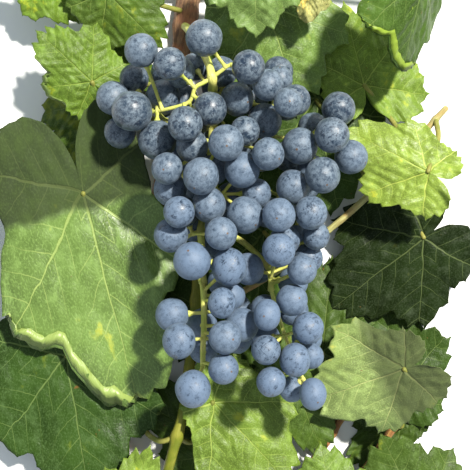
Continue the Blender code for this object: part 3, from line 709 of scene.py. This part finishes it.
def berry_patch(middle, radius, pole, length, seed):
    """Points, faces and own places of a berry whose stalk end points along its pole.

    Its length is its height up the photograph over its width.
    """
    pole = Vector(pole).normalized()
    turn = Matrix((pole.orthogonal().normalized(), pole.cross(pole.orthogonal()).normalized(), pole))
    turn = np.array(turn.transposed())
    places, reaches = [], []
    for angle in BERRY_RINGS[1:-1]:
        for step in range(BERRY_SIDES):
            across = math.tau * step / BERRY_SIDES
            sine = math.sin(math.radians(angle))
            places.append((sine * math.cos(across), sine * math.sin(across), math.cos(math.radians(angle))))
            reaches.append(angle)
    places += [(0.0, 0.0, 1.0), (0.0, 0.0, -1.0)]
    reaches += [0.0, 180.0]
    places, reaches = np.array(places), np.array(reaches)
    lumps = np.array([noise.noise(Vector(place) * 1.3 + Vector((seed, seed, seed))) for place in places])
    rise = 1.0 + BERRY_LUMPS * lumps - STALK_DIMPLE * np.exp(-(reaches / DIMPLE_ANGLE) ** 2)
    rise += SCAR_RISE * np.exp(-((180.0 - reaches) / SCAR_ANGLE) ** 4)
    offsets = radius * (places * rise[:, None]) @ turn.T
    offsets *= (1.0 / math.sqrt(length), math.sqrt(length), 1.0)
    points = np.array(middle) + offsets
    rings = len(BERRY_RINGS) - 2
    faces = [tuple(reversed(face)) for face in ring_faces(rings, BERRY_SIDES)]
    first, last = rings * BERRY_SIDES, rings * BERRY_SIDES + 1
    for step in range(BERRY_SIDES):
        after = (step + 1) % BERRY_SIDES
        faces.append((first, step, after))
        faces.append((last, (rings - 1) * BERRY_SIDES + after, (rings - 1) * BERRY_SIDES + step))
    return points, faces, places


def blade_reach(angles):
    """Reach of a vine leaf's outline, as a share of its midrib, at angles from the midrib in degrees."""
    reach = np.zeros(len(angles))
    knots = sorted([(angle, share, True) for angle, share in zip(LOBE_ANGLES, LOBE_REACHES)]
                   + [(angle, share, False) for angle, share in zip(SINUS_ANGLES, SINUS_REACHES)])
    turned = np.abs((np.asarray(angles) + 180.0) % 360.0 - 180.0)
    for (start, first, first_is_lobe), (end, second, _) in zip(knots, knots[1:]):
        inside = (turned >= start) & (turned <= end)
        share = (turned[inside] - start) / (end - start)
        if first_is_lobe:
            reach[inside] = second + (first - second) * (1.0 - share ** LOBE_BREADTH)
        else:
            reach[inside] = first + (second - first) * (1.0 - (1.0 - share) ** LOBE_BREADTH)
    return reach


def vein_field(along, across):
    """Distance to the nearest main vein, and the phase between two side veins, on a blade one long."""
    folded = np.abs(across)
    angle = np.degrees(np.arctan2(folded, along))
    middles = [(first + second) / 2 for first, second in zip(VEIN_ANGLES, VEIN_ANGLES[1:])]
    number = np.searchsorted(middles, angle)
    turn = np.radians(np.array(VEIN_ANGLES))[number]
    beside = folded * np.cos(turn) - along * np.sin(turn)
    ahead = along * np.cos(turn) + folded * np.sin(turn)
    phase = (ahead - np.abs(beside) * SIDE_VEIN_SLOPE - beside ** 2 * SIDE_VEIN_CURVE) / SIDE_VEIN_SPACING
    return np.abs(beside), phase + 0.5 * (across < 0.0)


def tooth_profile(seed):
    """Angles of the blade's teeth and notches in degrees all round, with the height at each.

    A tooth has a short side towards the blade's tip and a long one towards its foot.
    """
    rng = np.random.default_rng(seed)
    angles, heights = [], []
    for side in (1.0, -1.0):
        widths = 1.0 + TOOTH_VARIETY * rng.random(TEETH_A_SIDE)
        edges = np.concatenate([[0.0], np.cumsum(widths)]) * 180.0 / widths.sum()
        for number, (start, end) in enumerate(zip(edges, edges[1:])):
            from_lobe = min(abs(start - lobe) for lobe in LOBE_ANGLES)
            size = TOOTH_DEPTH * (0.6 + 0.8 * rng.random() + LOBE_TOOTH * math.exp(-(from_lobe / 7.0) ** 2))
            for share, height in TOOTH_SHAPE:
                if side > 0.0 or number > 0 or share > 0.0:
                    angles.append(side * (start + (end - start) * share) % 360.0)
                    heights.append(size * (height - 0.4))
    order = np.argsort(angles)
    return np.array(angles)[order], np.array(heights)[order]


class Blade:
    """The fine surface of one leaf, laid on the frame's plainer one."""

    def __init__(self, name, leaf, seed):
        foot, tip, self.roll, self.fold, self.droop, self.breadth = leaf[:6]
        self.seed = seed * SEED_STEP
        self.angles, self.heights = tooth_profile(seed)
        self.heights *= TOOTH_SCALES.get(name, 1.0)
        self.turned = TURNED_EDGES.get(name)
        self.raised = RAISED_EDGES.get(name)
        self.reaches = blade_reach(self.angles)
        for first, last, left in EDGE_REACHES.get(name, ()):
            self.reaches *= 1.0 - (1.0 - left) * self.stretch(first, last)
        self.base = at(*foot)
        midrib = at(*tip) - self.base
        self.length = midrib.length
        self.forward = midrib.normalized()
        upward = Vector((0.0, 0.0, 1.0))
        upward = (upward - self.forward * upward.dot(self.forward)).normalized()
        self.upward = Matrix.Rotation(math.radians(self.roll), 3, self.forward) @ upward
        self.sideways = self.upward.cross(self.forward)

    def stretch(self, first, last):
        """How far each point of the edge belongs to a stretch of it: 1 in its middle, 0 beyond its ends."""
        middle, half = (first + last) / 2, (last - first) / 2
        away = (self.angles - middle + 180.0) % 360.0 - 180.0
        return np.sqrt(np.clip(1.0 - (away / half) ** 2, 0.0, 1.0))

    def ring(self, share, depth):
        """One ring of points at a share of the outline, so deep under the face, and their flat places."""
        reach = self.reaches * share * (1.0 + self.heights * share ** 6)
        cosines, sines = np.cos(np.radians(self.angles)), np.sin(np.radians(self.angles))
        flat = np.stack([reach * cosines, reach * sines, np.full(len(reach), self.seed)], axis=1)
        lift = 0.0
        if self.turned:
            back, lift = self.turn_edge(share, depth)
            reach = reach * back
        along, across = reach * cosines, reach * sines
        rise = self.relief(share, reach, along, across) + lift
        rise -= self.droop * self.length * reach ** 2 + depth
        if self.raised:
            first, last, start, slope = self.raised
            rise += slope * max(share - start, 0.0) * self.length * reach * self.stretch(first, last)
        wide = across * self.length * self.breadth
        rise -= np.abs(wide) * math.sin(math.radians(self.fold))
        wide *= math.cos(math.radians(self.fold))
        points = (np.array(self.base) + np.outer(along * self.length, self.forward)
                  + np.outer(wide, self.sideways) + np.outer(rise, self.upward))
        points[:, 2] = np.maximum(points[:, 2], FLOOR_ROOM + BLADE_THICKNESS - depth)
        return points, flat

    def relief(self, share, reach, along, across):
        """Height of the blade's small forms: sunk veins, swells and puckers between them, a wavy edge."""
        beside, phase = vein_field(along, across)
        bays = 0.5 - 0.5 * np.cos(phase * math.tau)
        between = 1.0 - np.exp(-(beside / VEIN_SHOULDER) ** 2)
        pucker = PUCKER * bays * between * np.minimum(reach / 0.25, 1.0)
        pillow = PILLOW * self.length * (1.0 - np.exp(-(beside / PILLOW_SHOULDER) ** 2))
        lumps = np.array([noise.noise(Vector((x * LUMP_SCALE, y * LUMP_SCALE, self.seed * 9.0)))
                          for x, y in zip(along, across)])
        bends = np.array([noise.noise(Vector((x * BEND_SCALE, y * BEND_SCALE, self.seed * 5.0)))
                          for x, y in zip(along, across)])
        groove = VEIN_GROOVE * np.exp(-(beside / VEIN_WIDTH) ** 2) * (1.0 - share)
        turns = np.radians(self.angles)
        wave = EDGE_WAVE * share ** 3 * (np.sin(turns * 5.0 + self.seed * 7.0)
                                         + 0.6 * np.sin(turns * 11.0 + self.seed * 13.0))
        return pucker + pillow + LUMPS * lumps * between + BENDS * bends * reach - groove + wave

    def turn_edge(self, share, depth):
        """How far back and how high a ring lies where its stretch of the edge is turned up and over."""
        first, last, width = self.turned
        fold_at = 1.0 - width * self.stretch(first, last)
        over = np.maximum(share - fold_at, 0.0)
        back = np.where(over > 0.0, (fold_at - TURNED_FLATNESS * over) / max(share, width), 1.0)
        lift = TURNED_LIFT * np.sin(np.minimum(over / width, 1.0) * math.pi * 0.6)
        return back, lift + np.where(over > 0.0, 2.0 * depth, 0.0)

    def add_to(self, skin):
        """Add the closed blade to a skin: its upper face, its underside and the edge between them."""
        sides = len(self.angles)
        points, flats, under = [], [], []
        for rings, depth in ((BLADE_RINGS, 0.0), (UNDER_RINGS, BLADE_THICKNESS)):
            for share in np.linspace(0.0, 1.0, rings + 1)[1:] ** RING_BIAS:
                ring, flat = self.ring(share, depth)
                points.append(ring)
                flats.append(flat)
                under.append(np.full(sides, depth / BLADE_THICKNESS))
        for depth in (0.0, BLADE_THICKNESS):
            ring, flat = self.ring(0.0, depth)
            points.append(ring[:1])
            flats.append(flat[:1])
            under.append(np.full(1, depth / BLADE_THICKNESS))
        shift = BLADE_RINGS * sides
        foot = (BLADE_RINGS + UNDER_RINGS) * sides
        faces = [tuple(reversed(face)) for face in ring_faces(BLADE_RINGS, sides)]
        faces += [tuple(corner + shift for corner in face) for face in ring_faces(UNDER_RINGS, sides)]
        for step in range(sides):
            after = (step + 1) % sides
            top, bottom = shift - sides, foot - sides
            faces.append((foot, step, after))
            faces.append((foot + 1, shift + after, shift + step))
            faces.append((top + after, top + step, bottom + step, bottom + after))
        skin.add(np.concatenate(points), faces, leaf_place=np.concatenate(flats), under=np.concatenate(under))


class Surface:
    """A material, with short ways to add shader nodes to it."""

    def __init__(self, name, roughness):
        self.material = bpy.data.materials.new(name)
        self.material.use_nodes = True
        self.tree = self.material.node_tree
        self.shader = self.tree.nodes["Principled BSDF"]
        self.shader.inputs["Roughness"].default_value = roughness

    def join(self, value, socket):
        """Link a value that is a node's output, or set one that is a number or a colour."""
        if isinstance(value, bpy.types.NodeSocket):
            self.tree.links.new(value, socket)
        elif isinstance(value, tuple) and len(value) == 3 and socket.type == "RGBA":
            socket.default_value = (*value, 1.0)
        else:
            socket.default_value = value

    def node(self, kind, inputs, **settings):
        """Add a node with its settings and inputs."""
        made = self.tree.nodes.new("ShaderNode" + kind)
        for name, value in settings.items():
            setattr(made, name, value)
        for name, value in inputs.items():
            self.join(value, made.inputs[name])
        return made

    def attribute(self, name, vector=False):
        """A value kept on the mesh."""
        made = self.node("Attribute", {}, attribute_name=name)
        return made.outputs["Vector" if vector else "Fac"]

    def math(self, operation, first, second=0.0):
        """A sum of two values, or another operation on them."""
        return self.node("Math", {0: first, 1: second}, operation=operation).outputs[0]

    def split(self, vector):
        """The three parts of a vector."""
        made = self.node("SeparateXYZ", {0: vector})
        return made.outputs[0], made.outputs[1], made.outputs[2]

    def scaled(self, vector, factors):
        """A vector times another, part by part."""
        return self.node("VectorMath", {0: vector, 1: factors}, operation="MULTIPLY").outputs[0]

    def noise(self, vector, scale, detail=3.0, roughness=0.5):
        """Soft noise from 0 to 1."""
        return self.node("TexNoise", {"Vector": vector, "Scale": scale, "Detail": detail,
                                      "Roughness": roughness}).outputs[0]

    def cells(self, vector, scale, feature="DISTANCE_TO_EDGE"):
        """Distance to the nearest edge, or point, of a net of cells."""
        return self.node("TexVoronoi", {"Vector": vector, "Scale": scale}, feature=feature).outputs["Distance"]

    def fit(self, value, low, high, start=0.0, end=1.0):
        """The value fitted smoothly from one range to another, and held there."""
        return self.node("MapRange", {"Value": value, "From Min": low, "From Max": high, "To Min": start,
                                      "To Max": end}, interpolation_type="SMOOTHSTEP").outputs[0]

    def mix(self, share, first, second):
        """A colour between two."""
        return self.node("Mix", {0: share, 6: first, 7: second}, data_type="RGBA").outputs[2]

    def colour(self, value):
        """Set the base colour."""
        self.join(value, self.shader.inputs["Base Color"])

    def set(self, constants):
        """Set numbers and colours on the shader itself."""
        for name, value in constants.items():
            self.shader.inputs[name].default_value = value

    def bump(self, height, depth):
        """Raise the surface by a height in metres times a depth."""
        made = self.node("Bump", {"Height": height, "Distance": depth, "Strength": 1.0})
        self.tree.links.new(made.outputs[0], self.shader.inputs["Normal"])


def bark_material(name, pale, dark, red):
    """Fibrous bark: long streaks of three colours with a stringy relief."""
    surface = Surface(name, 0.62)
    grain = surface.attribute("grain", vector=True)
    long = surface.noise(surface.scaled(grain, (1.0, 1.0, 0.07)), 1.1, 5.0, 0.6)
    strings = surface.noise(surface.scaled(grain, (1.0, 1.0, 0.05)), 3.2, 4.0, 0.65)
    patches = surface.noise(grain, 0.09, 3.0)
    colour = surface.mix(surface.fit(long, 0.36, 0.64), dark, pale)
    colour = surface.mix(surface.fit(patches, 0.45, 0.65), colour, red)
    colour = surface.mix(surface.fit(strings, 0.52, 0.66, 0.0, 0.6), colour, tuple(0.4 * part for part in dark))
    surface.colour(colour)
    surface.bump(surface.math("ADD", long, strings), 0.0005)
    return surface.material


def green_material(name, green, yellow):
    """A green stalk: ribbed, yellower in places, with small corky dots."""
    surface = Surface(name, 0.42)
    surface.set({"Specular IOR Level": 0.25})
    grain = surface.attribute("grain", vector=True)
    ribs = surface.noise(surface.scaled(grain, (1.0, 1.0, 0.08)), 2.0, 3.0)
    patches = surface.noise(grain, 0.14, 3.0)
    dots = surface.cells(grain, 1.1, "F1")
    colour = surface.mix(surface.fit(patches, 0.38, 0.6), green, yellow)
    colour = surface.mix(surface.fit(ribs, 0.55, 0.75, 0.0, 0.35), colour, tuple(0.5 * part for part in green))
    colour = surface.mix(surface.fit(dots, 0.1, 0.16, 0.45, 0.0), colour, (0.16, 0.09, 0.02))
    surface.colour(colour)
    surface.bump(surface.math("ADD", ribs, surface.fit(dots, 0.06, 0.3, 0.5, 0.0)), 0.00025)
    return surface.material


def berry_material():
    """Blue-black skin under a waxy bloom that is mottled, rubbed off in streaks and scarred at the tip."""
    surface = Surface("grape_skin_bloom", 0.44)
    own = surface.attribute("own_place", vector=True)
    bloom = surface.attribute("bloom")
    tint = surface.attribute("tint")
    shifted = surface.node("VectorMath", {0: own, 1: surface.node("CombineXYZ", {
        0: surface.math("MULTIPLY", tint, 37.0), 1: surface.math("MULTIPLY", tint, 71.0),
        2: surface.math("MULTIPLY", tint, 13.0)}).outputs[0]}, operation="ADD").outputs[0]
    mottle = surface.noise(shifted, 3.4, 6.0, 0.68)
    fine = surface.noise(shifted, 14.0, 3.0, 0.6)
    streaks = surface.noise(surface.scaled(shifted, (1.0, 3.4, 0.7)), 2.3, 4.0, 0.7)
    scratches = surface.noise(surface.scaled(shifted, (5.0, 0.5, 1.4)), 2.0, 2.0, 0.5)
    patches = surface.noise(shifted, 2.2, 6.0, 0.74)
    wax = surface.math("ADD", bloom, surface.fit(mottle, 0.34, 0.66, -0.22, 0.2))
    wax = surface.math("ADD", wax, surface.fit(fine, 0.3, 0.7, -0.14, 0.14))
    handled = surface.fit(tint, 0.35, 0.8, 0.35, 1.0)
    for rubbed in (surface.fit(streaks, 0.59, 0.64, 0.0, 0.55), surface.fit(patches, 0.55, 0.585, 0.0, 0.4),
                   surface.fit(scratches, 0.68, 0.7, 0.0, 0.4)):
        wax = surface.math("SUBTRACT", wax, surface.math("MULTIPLY", rubbed, handled))
    wax = surface.fit(wax, 0.0, 1.0)
    skin = surface.mix(surface.fit(mottle, 0.35, 0.65), (0.008, 0.02, 0.04), (0.016, 0.021, 0.034))
    powder = surface.mix(surface.fit(bloom, 0.4, 0.9), (0.145, 0.188, 0.228), (0.096, 0.138, 0.205))
    colour = surface.mix(wax, skin, powder)
    speckles = surface.cells(shifted, 9.0, "F1")
    colour = surface.mix(surface.fit(speckles, 0.1, 0.16, 0.3, 0.0), colour, (0.16, 0.19, 0.23))
    _, _, height = surface.split(own)
    scarred = surface.math("LESS_THAN", tint, SCARRED_SHARE)
    scar = surface.math("MULTIPLY", surface.fit(height, -0.9988, -0.996, 1.0, 0.0), scarred)
    colour = surface.mix(scar, colour, (0.09, 0.05, 0.025))
    surface.colour(colour)
    surface.join(surface.fit(wax, 0.0, 1.0, 0.3, 0.6), surface.shader.inputs["Roughness"])
    surface.set({"Specular IOR Level": 0.4, "Sheen Weight": 0.06, "Sheen Roughness": 0.4,
                 "Sheen Tint": (0.75, 0.88, 1.0, 1.0)})
    surface.bump(surface.math("ADD", fine, mottle), 0.00006)
    return surface.material


def leaf_material(name, green, yellowing, shine):
    """A vine leaf: pale veins in a net, puckers between them, yellowing patches, painted glints and a paler
    underside; some leaves have painted shade about the foot and an underside brightened by painted light.
    """
    surface = Surface(name + "_green", LEAF_ROUGHNESS)
    surface.set({"Specular IOR Level": shine})
    place = surface.attribute("leaf_place", vector=True)
    bend = surface.noise(place, 3.6, 3.0)
    along, across, seed = surface.split(place)
    along = surface.math("ADD", along, surface.fit(bend, 0.0, 1.0, -0.03, 0.03))
    folded = surface.math("ABSOLUTE", surface.math("ADD", across, surface.fit(bend, 0.0, 1.0, -0.015, 0.015)))
    angle = surface.math("ARCTAN2", folded, along)
    nearest, side = None, None
    for number, turn in enumerate(math.radians(turn) for turn in VEIN_ANGLES):
        beside = surface.math("ABSOLUTE", surface.math(
            "SUBTRACT", surface.math("MULTIPLY", folded, math.cos(turn)),
            surface.math("MULTIPLY", along, math.sin(turn))))
        ahead = surface.math("ADD", surface.math("MULTIPLY", along, math.cos(turn)),
                             surface.math("MULTIPLY", folded, math.sin(turn)))
        slanted = surface.math("ADD", surface.math("MULTIPLY", beside, SIDE_VEIN_CURVE), SIDE_VEIN_SLOPE)
        phase = surface.math("DIVIDE", surface.math(
            "SUBTRACT", ahead, surface.math("MULTIPLY", beside, slanted)), SIDE_VEIN_SPACING)
        if number == 0:
            nearest, side, forward = beside, phase, ahead
        else:
            middle = math.radians((VEIN_ANGLES[number - 1] + VEIN_ANGLES[number]) / 2)
            here = surface.math("GREATER_THAN", angle, middle)
            nearest, side, forward = (
                surface.node("Mix", {0: here, 2: old, 3: new}).outputs[0]
                for old, new in ((nearest, beside), (side, phase), (forward, ahead)))
    opposite = surface.math("MULTIPLY", surface.math("LESS_THAN", across, 0.0), 0.5)
    phase = surface.math("FRACT", surface.math("ADD", surface.math("ADD", side, opposite), 8.0))
    near_side = surface.math("MULTIPLY", surface.math("ABSOLUTE", surface.math("SUBTRACT", phase, 0.5)), 2.0)
    near_side = surface.math("SUBTRACT", 1.0, near_side)
    thick = surface.fit(forward, 0.0, 1.0, 0.0085, 0.0022)
    main_vein = surface.fit(surface.math("DIVIDE", nearest, thick), 0.6, 1.3, 1.0, 0.0)
    side_vein = surface.math("MULTIPLY", surface.fit(near_side, 0.02, 0.06, 1.0, 0.0),
                             surface.fit(nearest, 0.05, 0.26, 1.0, 0.25))
    net = surface.cells(place, 34.0)
    net_vein = surface.fit(net, 0.0, 0.06, 1.0, 0.0)
    vein = surface.math("MAXIMUM", main_vein, surface.math("MULTIPLY", side_vein, 0.75))
    broad = surface.noise(place, 2.2, 4.0, 0.6)
    spots = surface.noise(place, 9.0, 4.0, 0.65)
    pale = tuple(min(part * 1.55 + 0.02, 1.0) for part in green)
    dark = tuple(part * 0.58 for part in green)
    yellow = (green[0] * 2.4 + 0.03, green[1] * 1.65 + 0.03, green[2] * 1.1)
    colour = surface.mix(surface.fit(broad, 0.35, 0.65), dark, green)
    colour = surface.mix(surface.fit(spots, 0.5, 0.75, 0.0, 0.6), colour, pale)
    colour = surface.mix(surface.fit(surface.math("ADD", broad, surface.math("MULTIPLY", spots, 0.4)),
                                     0.92 - 0.45 * yellowing, 1.0 - 0.3 * yellowing, 0.0, 0.9), colour, yellow)
    colour = surface.mix(surface.math("MULTIPLY", net_vein, 0.2), colour, pale)
    # Fine pale speckle: painted glints of the sun on the blade's fine relief
    speckle = surface.noise(place, 75.0, 2.0)
    colour = surface.mix(surface.fit(speckle, 0.48, 0.68, 0.0, 0.5), colour, pale)
    vein_colour = (green[0] * 1.8 + 0.06, green[1] * 1.45 + 0.075, green[2] * 1.8 + 0.03)
    colour = surface.mix(surface.math("MULTIPLY", vein, 0.8), colour, vein_colour)
    rust = surface.noise(place, 16.0, 2.0)
    colour = surface.mix(surface.fit(rust, 0.74, 0.78, 0.0, 0.8), colour, (0.12, 0.06, 0.015))
    roughness = surface.fit(spots, 0.3, 0.7, LEAF_ROUGHNESS - 0.05, LEAF_ROUGHNESS + 0.1)
    # Painted shade about the foot: the colour is darkened and made less glossy where shade falls on the blade
    if name in PAINTED_SHADE_FEET:
        end, fade, depth = PAINTED_SHADE_FEET[name]
        painted_shade_mask = surface.fit(along, end, fade, depth, 0.0)
        colour = surface.mix(painted_shade_mask, colour, tuple(0.1 * part for part in green))
        roughness = surface.math("ADD", roughness, surface.math("MULTIPLY", painted_shade_mask, 0.6))
    # A paler underside; on the hero and folded leaves it is brighter still, painted light for sun shining through
    # the edge
    under = surface.attribute("under")
    underside = PAINTED_LIGHT_UNDERSIDES.get(name, tuple(0.6 * part + extra for part, extra in zip(green, (0.06, 0.075, 0.03))))
    colour = surface.mix(surface.math("MULTIPLY", under, 0.85), colour, underside)
    surface.colour(colour)
    crinkle = surface.noise(place, 24.0, 2.0)
    height = surface.math("SUBTRACT", surface.math("MULTIPLY", surface.fit(near_side, 0.0, 1.0), 0.7),
                          surface.math("MULTIPLY", main_vein, 0.8))
    height = surface.math("ADD", height, surface.math("MULTIPLY", surface.fit(net, 0.0, 0.2), 0.2))
    height = surface.math("ADD", height, surface.math("MULTIPLY", crinkle, 0.3))
    surface.bump(height, 0.00022)
    surface.join(roughness, surface.shader.inputs["Roughness"])
    return surface.material


def coarse_limbs():
    """The frame's own ways and radii of the limbs and laterals, which the bunch is hung from."""
    limbs = {}
    for name, (radius, parent, places, *_) in {**LIMBS, **LATERALS}.items():
        way = smooth_way(places, COARSE_STEPS)
        if parent:
            way = branch_off(way, radius, limbs[parent])
        limbs[name] = (way, limb_radii(way, radius))
    return limbs


def fine_ways():
    """The fine ways of every limb, lateral and leaf stalk, each begun inside the limb that bears it."""
    stalks = {name: entry[:3] for name, entry in {**LIMBS, **LATERALS}.items()}
    for name, leaf in LEAVES.items():
        stalks[name] = (PETIOLE_RADIUS, leaf[6], leaf[7] + (leaf[0],))
    ways, knobs = {}, {}
    for name, (radius, parent, places) in stalks.items():
        way = smooth_way(places, FINE_STEPS)
        if parent:
            parent_way, parent_radii = ways[parent]
            start, _, thickness = nearest_on(parent_way, parent_radii, way[0])
            way = [start] + [point for point in way[1:] if (point - start).length > 0.6 * thickness]
            knobs.setdefault(parent, []).append(start)
        radii = limb_radii(way, radius)
        if name in LATERALS:
            radii = [size * LATERAL_SLIMNESS for size in radii]
        ways[name] = (way, radii)
    return ways, knobs


def add_stalk(skin, name, ways, knobs, sides, ribs, seed):
    """Add one limb's fine tube to a skin."""
    way, radii = ways[name]
    even = even_way(way, RING_SPACING)
    thick = np.interp(np.linspace(0, 1, len(even)), np.linspace(0, 1, len(radii)), radii)
    add_tube(skin, even, swollen(even, thick, knobs.get(name, [])), sides, ribs, seed)


def make_limbs(ways, knobs, materials):
    """Make the canes, shoots and the bunch's main stalk."""
    looks = {"main_cane": "bark", "lower_cane": "orange_bark", "right_cane": "orange_bark",
             "side_shoot": "young_bark", "upper_shoot": "young_bark", "green_shoot": "shoot",
             "rachis": "stalk"}
    for number, (name, look) in enumerate(looks.items()):
        skin = Skin()
        woody = "bark" in look
        add_stalk(skin, name, ways, knobs, LIMB_SIDES if name == "main_cane" else STALK_SIDES,
                  0.12 if woody else 0.07, number * 3.7)
        skin.make(name + "_skin", materials[look], "cane_bark" if woody else "green_stalk", name)


def make_bunch(ways, knobs, materials):
    """Make each lateral's stalks as one piece and its berries as another."""
    coarse = coarse_limbs()
    bunch = place_berries([(way, radii[0] * STALK_ROOM) for way, radii in coarse.values()])
    owners, seats = share_out(bunch, {name: coarse[name][0] for name in LATERALS}, coarse["rachis"][0])
    rng = np.random.default_rng(SEED)
    for number, name in enumerate(LATERALS):
        stalks, berries = Skin(), Skin()
        add_stalk(stalks, name, ways, knobs, STALK_SIDES, 0.08, number * 1.9)
        for berry, middle in enumerate(bunch.middles):
            tint, spread = rng.random(), rng.random() - 0.5
            if owners[berry] != name:
                continue
            radius = bunch.sizes[berry]
            length = LONG_BERRIES.get(bunch.places[berry], BERRY_LENGTH)
            points, faces, places = berry_patch(middle, radius, seats[berry] - middle, length, berry * 1.7)
            heavy = min(max((bunch.places[berry][1] - DULL_ROW) / (BLOOM_ROW - DULL_ROW), 0.0), 1.0)
            bloom = LIGHT_BLOOM + (HEAVY_BLOOM - LIGHT_BLOOM) * heavy + BLOOM_SPREAD * spread
            berries.add(points, faces, own_place=places, bloom=np.full(len(points), bloom),
                        tint=np.full(len(points), tint))
            add_pedicel(stalks, np.array(seats[berry]), middle, radius, berry)
        stalks.make("stalks_" + name, materials["stalk"], "green_stalk", name)
        if berries.count:
            berries.make("berries_" + name, materials["berry"], "grape_skin", name)


def add_pedicel(skin, seat, middle, radius, number):
    """Add a berry's own stalk, which sags behind the bunch and ends in a warty collar on the berry."""
    toward = (middle - seat) / np.linalg.norm(middle - seat)
    end = middle - toward * radius * 0.93
    length = np.linalg.norm(end - seat)
    if length < 1.0:
        return
    shares = np.linspace(0.0, 1.0, PEDICEL_STEPS)
    sag = toward * toward[2] - np.array((0.0, 0.0, 1.0))
    bow = PEDICEL_SAG * length ** 2 * np.sin(shares * math.pi)
    way = seat + np.outer(shares * length, toward) + np.outer(bow, sag)
    collar = np.exp(-(((1.0 - shares) * length - 0.4) / 1.1) ** 2)
    foot = np.exp(-(shares * length / 1.2) ** 2)
    radii = PEDICEL_RADIUS * (0.95 + 1.0 * collar + 0.5 * foot)
    add_tube(skin, way, radii, PEDICEL_SIDES, 0.1, number * 0.7)


def make_leaves(ways, knobs):
    """Make each leaf's blade and its stalk, as two pieces."""
    petiole = green_material("petiole_skin", (0.15, 0.17, 0.03), (0.25, 0.23, 0.055))
    for number, (name, leaf) in enumerate(LEAVES.items()):
        green, yellowing, shine = LEAF_LOOKS[name]
        blade, stalk = Skin(), Skin()
        Blade(name, leaf, number).add_to(blade)
        blade.make("blade_" + name, leaf_material(name, green, yellowing, shine), "vine_leaf", name)
        add_stalk(stalk, name, ways, knobs, STALK_SIDES, 0.06, number * 2.3)
        stalk.make("petiole_" + name, petiole, "green_stalk", name)


def light_and_floor():
    """A pale floor, a low sun from the upper right in front, and soft light from all round."""
    mesh = bpy.data.meshes.new("floor")
    half = 1.5
    mesh.from_pydata([(-half, -half, 0), (half, -half, 0), (half, half, 0), (-half, half, 0)], [],
                     [(0, 1, 2, 3)])
    surface = Surface("floor_pale", 0.9)
    surface.colour((0.72, 0.73, 0.72))
    mesh.materials.append(surface.material)
    floor = bpy.data.objects.new("floor", mesh)
    bpy.context.scene.collection.objects.link(floor)
    sun = bpy.data.lights.new("sun", "SUN")
    sun.energy = 8.6
    sun.angle = math.radians(4.0)
    sun.color = (1.0, 0.96, 0.88)
    lamp = bpy.data.objects.new("sun", sun)
    lamp.rotation_euler = Vector((0.42, 0.46, 0.92)).to_track_quat("Z", "Y").to_euler()
    bpy.context.scene.collection.objects.link(lamp)
    world = bpy.data.worlds.new("soft_light")
    world.use_nodes = True
    world.node_tree.nodes["Background"].inputs[0].default_value = (0.8, 0.9, 1.0, 1.0)
    world.node_tree.nodes["Background"].inputs[1].default_value = 0.7
    bpy.context.scene.world = world
    bpy.context.scene.view_settings.view_transform = "Standard"


def place_camera():
    """Look straight down from where the photograph was taken."""
    camera = bpy.data.cameras.new("camera")
    camera.sensor_width = SENSOR
    camera.lens = SENSOR * PHOTO_DISTANCE / PHOTO_WIDTH
    camera.clip_start = 0.01
    seat = bpy.data.objects.new("camera", camera)
    seat.location = Vector((-ORIGIN.x, -ORIGIN.y, CAMERA_HEIGHT - ORIGIN.z)) * MM
    bpy.context.scene.collection.objects.link(seat)
    bpy.context.scene.camera = seat


def main():
    """Dress the frame."""
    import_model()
    place_camera()
    light_and_floor()
    materials = {
        "bark": bark_material("old_bark", (0.3, 0.16, 0.07), (0.12, 0.055, 0.025), (0.36, 0.13, 0.045)),
        "orange_bark": bark_material("orange_bark", (0.44, 0.25, 0.07), (0.26, 0.11, 0.035), (0.42, 0.16, 0.05)),
        "young_bark": bark_material("young_bark", (0.46, 0.44, 0.17), (0.32, 0.3, 0.1), (0.42, 0.25, 0.08)),
        "shoot": green_material("shoot_skin", (0.125, 0.15, 0.012), (0.2, 0.2, 0.025)),
        "stalk": green_material("stalk_skin", (0.42, 0.47, 0.09), (0.56, 0.54, 0.15)),
        "berry": berry_material(),
    }
    ways, knobs = fine_ways()
    make_limbs(ways, knobs, materials)
    make_bunch(ways, knobs, materials)
    make_leaves(ways, knobs)


main()
